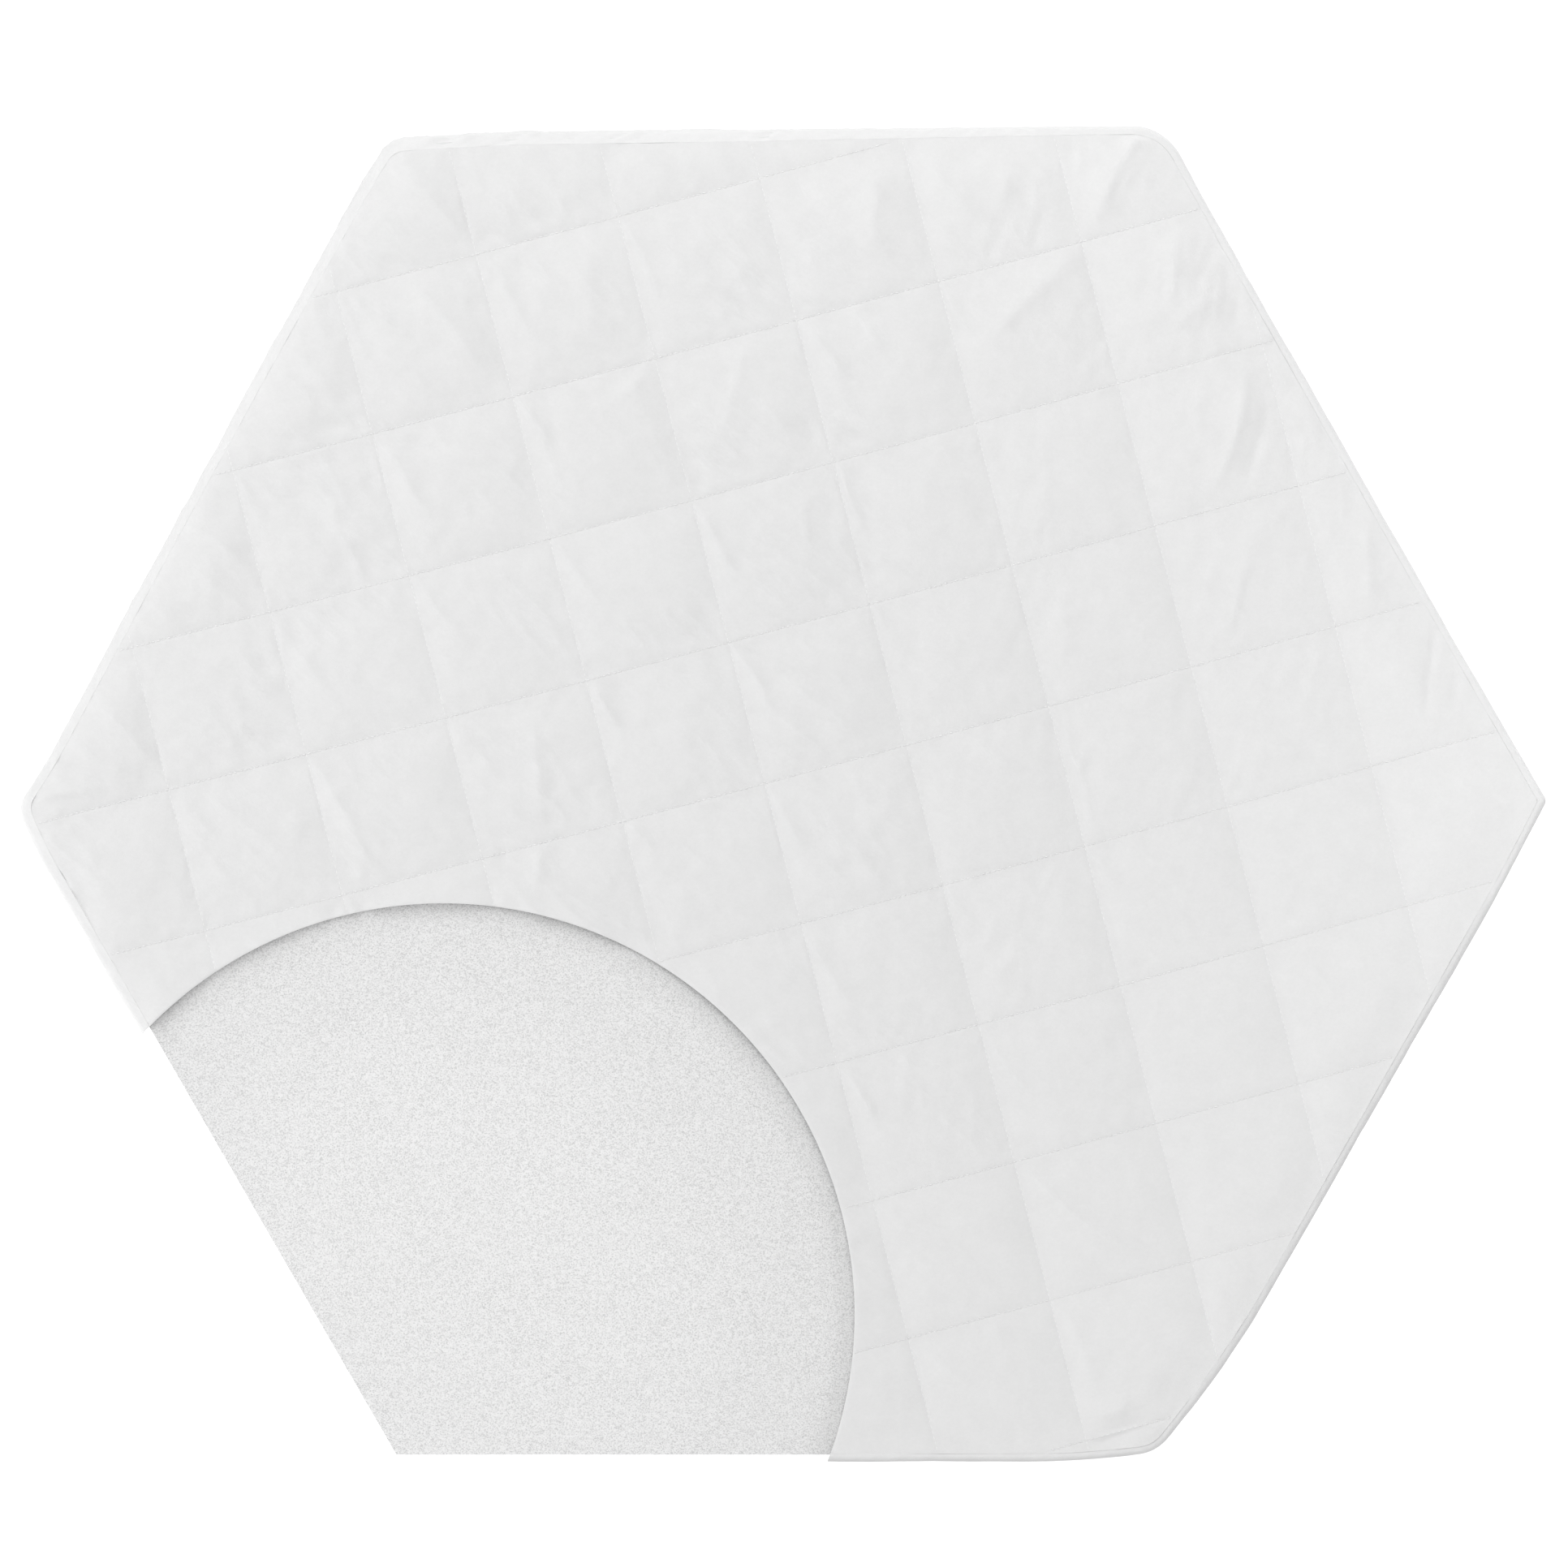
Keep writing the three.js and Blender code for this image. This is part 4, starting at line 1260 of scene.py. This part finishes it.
def stitch_tree(thread):
    """Thread stitches along an edge: the edge made a curve, spaced evenly, a stitch at each place."""
    tree = bpy.data.node_groups.new("stitches_along_lines", "GeometryNodeTree")
    tree.interface.new_socket("Lines", in_out="INPUT", socket_type="NodeSocketGeometry")
    for name, size in STITCH_SIZES.items():
        socket = tree.interface.new_socket(name, in_out="INPUT", socket_type="NodeSocketFloat")
        socket.default_value = size * MM
    tree.interface.new_socket("Stitches", in_out="OUTPUT", socket_type="NodeSocketGeometry")
    given = add_node(tree, "NodeGroupInput").outputs
    curve = add_node(tree, "GeometryNodeMeshToCurve", {}, {"Mesh": given["Lines"]}).outputs[0]
    spaced = add_node(
        tree, "GeometryNodeResampleCurve", {"mode": "LENGTH"}, {"Curve": curve, "Length": given["Pitch"]},
    ).outputs[0]
    tangent = add_node(tree, "GeometryNodeInputTangent").outputs[0]
    turn = add_node(tree, "FunctionNodeAlignRotationToVector", {"axis": "X"}, {"Vector": tangent}).outputs[0]
    ball = add_node(
        tree, "GeometryNodeMeshUVSphere", {}, {"Segments": 6, "Rings": 4, "Radius": 0.5},
    ).outputs[0]
    size = add_node(
        tree, "ShaderNodeCombineXYZ", {},
        {"X": given["Stitch length"], "Y": given["Stitch width"], "Z": given["Stitch width"]},
    ).outputs[0]
    stitch = add_node(tree, "GeometryNodeTransform", {}, {"Geometry": ball, "Scale": size}).outputs[0]
    placed = add_node(
        tree, "GeometryNodeInstanceOnPoints", {}, {"Points": spaced, "Instance": stitch, "Rotation": turn},
    ).outputs[0]
    real = add_node(tree, "GeometryNodeRealizeInstances", {}, {"Geometry": placed}).outputs[0]
    smoothed = add_node(tree, "GeometryNodeSetShadeSmooth", {}, {"Geometry": real}).outputs[0]
    coated = add_node(
        tree, "GeometryNodeSetMaterial", {}, {"Geometry": smoothed, "Material": thread},
    ).outputs[0]
    add_node(tree, "NodeGroupOutput", {}, {0: coated})
    return tree


def quilting_stitches(thread):
    points, edges, base = [], [], 0
    for run in stitched_lines():
        points.append(run)
        edges += [(base + k, base + k + 1) for k in range(len(run) - 1)]
        base += len(run)
    lines = bpy.data.meshes.new("stitched_lines")
    places = (np.vstack(points) - [MIDDLE[0], MIDDLE[1], 0]) * MM
    lines.from_pydata(places.tolist(), edges, [])
    carrier = bpy.data.objects.new("stitched_lines", lines)
    bpy.context.scene.collection.objects.link(carrier)
    tree = stitch_tree(thread)
    modifier = carrier.modifiers.new("stitches", "NODES")
    modifier.node_group = tree
    for socket in tree.interface.items_tree:
        if socket.name in STITCH_SIZES:
            modifier[socket.identifier] = STITCH_SIZES[socket.name] * MM
    bpy.context.view_layer.update()
    evaluated = carrier.evaluated_get(bpy.context.evaluated_depsgraph_get())
    mesh = bpy.data.meshes.new_from_object(evaluated)
    mesh.name = "quilting_stitches"
    carrier.modifiers.remove(modifier)
    bpy.data.objects.remove(carrier)
    piece = bpy.data.objects.new("quilting_stitches", mesh)
    bpy.context.scene.collection.objects.link(piece)
    return piece


# Light, floor and camera

ROOM_STRENGTH = 0.5
# Windows, as broad suns: name, degrees round from +X and up from the floor, and strength
WINDOW_SPREAD = 50.0
WINDOWS = [("upper_window", 105.0, 50.0, 1.22), ("left_window", 240.0, 15.0, 1.05)]
# Softboxes that face down round the mattress: name, place in metres and watts
SOFTBOX_SIZE = 0.35
SOFTBOXES = [
    ("softbox_top", (0.0, 0.95, 0.5), 0.6), ("softbox_top_left", (-0.75, 0.7, 0.5), 0.3),
    ("softbox_top_right", (0.7, 0.75, 0.5), 0.57), ("softbox_right", (1.05, 0.0, 0.5), 0.98),
    ("softbox_low_right", (0.75, -0.8, 0.5), 0.3),
]
# A soft spotlight from overhead, on the left of the mattress
SPOT_PLACE = Vector((-0.78, 0.065, 2.4))
SPOT_AIM = Vector((-0.6, 0.05, 0.0))
SPOT_POWER = 15.6
SPOT_SPREAD = 36.0
SPOT_SOFTNESS = 0.3
FLOOR_HALF = 6.0
FLOOR_DROP = 0.0004
CARD_HALF = 30  # degrees that a card turns through, to each side of where it faces
# Glowing cards on the floor, one out from each side of the mattress, and not seen: facing and strength
CARDS = [(30, 1.0), (90, 0.95), (150, 1.0), (210, 1.35), (270, 0.4), (330, 0.7)]
FRAME_WIDTH = 1210.4  # of the photograph, in mm
CAMERA_HEIGHT = 2.0
SEES_TO = 20.0
PHOTO_CENTRE = np.array([-1.25, 8.77])  # what the photograph's centre looks at


def studio():
    scene = bpy.context.scene
    world = bpy.data.worlds.new("white_room")
    world.use_nodes = True
    world.node_tree.nodes.clear()
    room = add_node(
        world.node_tree, "ShaderNodeBackground", {}, {"Color": (1, 1, 1, 1), "Strength": ROOM_STRENGTH},
    )
    add_node(world.node_tree, "ShaderNodeOutputWorld", {}, {"Surface": room.outputs[0]})
    scene.world = world

    def hang(name, lamp, place, towards_light):
        holder = bpy.data.objects.new(name, lamp)
        holder.location = place
        holder.rotation_euler = towards_light.to_track_quat("Z", "Y").to_euler()
        scene.collection.objects.link(holder)

    for name, facing, up, strength in WINDOWS:
        window = bpy.data.lights.new(name, "SUN")
        window.energy = strength
        window.angle = math.radians(WINDOW_SPREAD)
        facing, up = math.radians(facing), math.radians(up)
        towards = Vector((math.cos(facing) * math.cos(up), math.sin(facing) * math.cos(up), math.sin(up)))
        hang(name, window, towards * 2, towards)

    for name, place, watts in SOFTBOXES:
        box = bpy.data.lights.new(name, "AREA")
        box.shape = "DISK"
        box.size = SOFTBOX_SIZE
        box.energy = watts
        hang(name, box, place, Vector((0, 0, 1)))

    spot = bpy.data.lights.new("overhead_spot", "SPOT")
    spot.energy = SPOT_POWER
    spot.spot_size = math.radians(SPOT_SPREAD)
    spot.spot_blend = 1.0
    spot.shadow_soft_size = SPOT_SOFTNESS
    hang("overhead_spot", spot, SPOT_PLACE, SPOT_PLACE - SPOT_AIM)

    floor = bpy.data.meshes.new("studio_floor")
    corners = [
        (x * FLOOR_HALF, y * FLOOR_HALF, -FLOOR_DROP) for x, y in ((-1, -1), (1, -1), (1, 1), (-1, 1))
    ]
    floor.from_pydata(corners, [], [(0, 1, 2, 3)])
    floor.materials.append(studio_floor())
    ground = bpy.data.objects.new("studio_floor", floor)
    scene.collection.objects.link(ground)
    ground.visible_diffuse = False  # what lights the mattress from below are the cards

    for facing, strength in CARDS:
        card = bpy.data.meshes.new(f"card_{facing}")
        corners = [(0, 0, -FLOOR_DROP / 2)]
        for turn in (math.radians(facing - CARD_HALF), math.radians(facing + CARD_HALF)):
            corners.append((FLOOR_HALF * math.cos(turn), FLOOR_HALF * math.sin(turn), -FLOOR_DROP / 2))
        card.from_pydata(corners, [], [(0, 1, 2)])
        card.materials.append(lit_card(strength))
        reflector = bpy.data.objects.new(f"card_{facing}", card)
        reflector.visible_camera = False
        scene.collection.objects.link(reflector)

    camera = bpy.data.cameras.new("photo_camera")
    camera.type = "ORTHO"
    camera.ortho_scale = FRAME_WIDTH * MM
    camera.clip_end = SEES_TO
    viewpoint = bpy.data.objects.new("photo_camera", camera)
    looked_at = (PHOTO_CENTRE - MIDDLE) * MM
    viewpoint.location = (looked_at[0], looked_at[1], CAMERA_HEIGHT)
    scene.collection.objects.link(viewpoint)
    scene.camera = viewpoint
    scene.view_settings.view_transform = "Standard"
    scene.view_settings.look = "None"


# The mattress

wadding = cut_wadding()
quilt_cotton = woven_cloth(
    "quilted_woven_cotton", "#EFEFEF", "#E9E9E9", 0.9, ACROSS_TILT, 0.05, 0.10, 0.25, quilted=True,
)
band_cotton = woven_cloth("plain_woven_cotton_band", "#F0F0F0", "#EAEAEA", 0.9, 0.0, 0.03, 0.08, 0.25)
bottom_cotton = woven_cloth(
    "plain_woven_cotton_bottom", "#F0F0EE", "#E5E5E2", 1.3, math.radians(30), 0.09, 0.06, 0.15,
)
foam = open_cell_foam()
thread = polyester_thread()

quilted_top = quilted_panel([quilt_cotton, wadding])
band = side_band([band_cotton, wadding])
foam_core = foam_slab([foam])
bottom = bottom_cloth([bottom_cotton])
stitches = quilting_stitches(thread)

for piece, node, slot in (
    (quilted_top, "top_panel", "quilted_cloth"), (band, "side_band", "band_cloth"),
    (foam_core, "foam_core", "foam"), (bottom, "bottom_panel", "plain_cloth"),
):
    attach(piece, "root")
    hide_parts(node)
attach(stitches, "root")

x, y = bottom_loop().T * MM

studio()

bpy.context.view_layer.update()
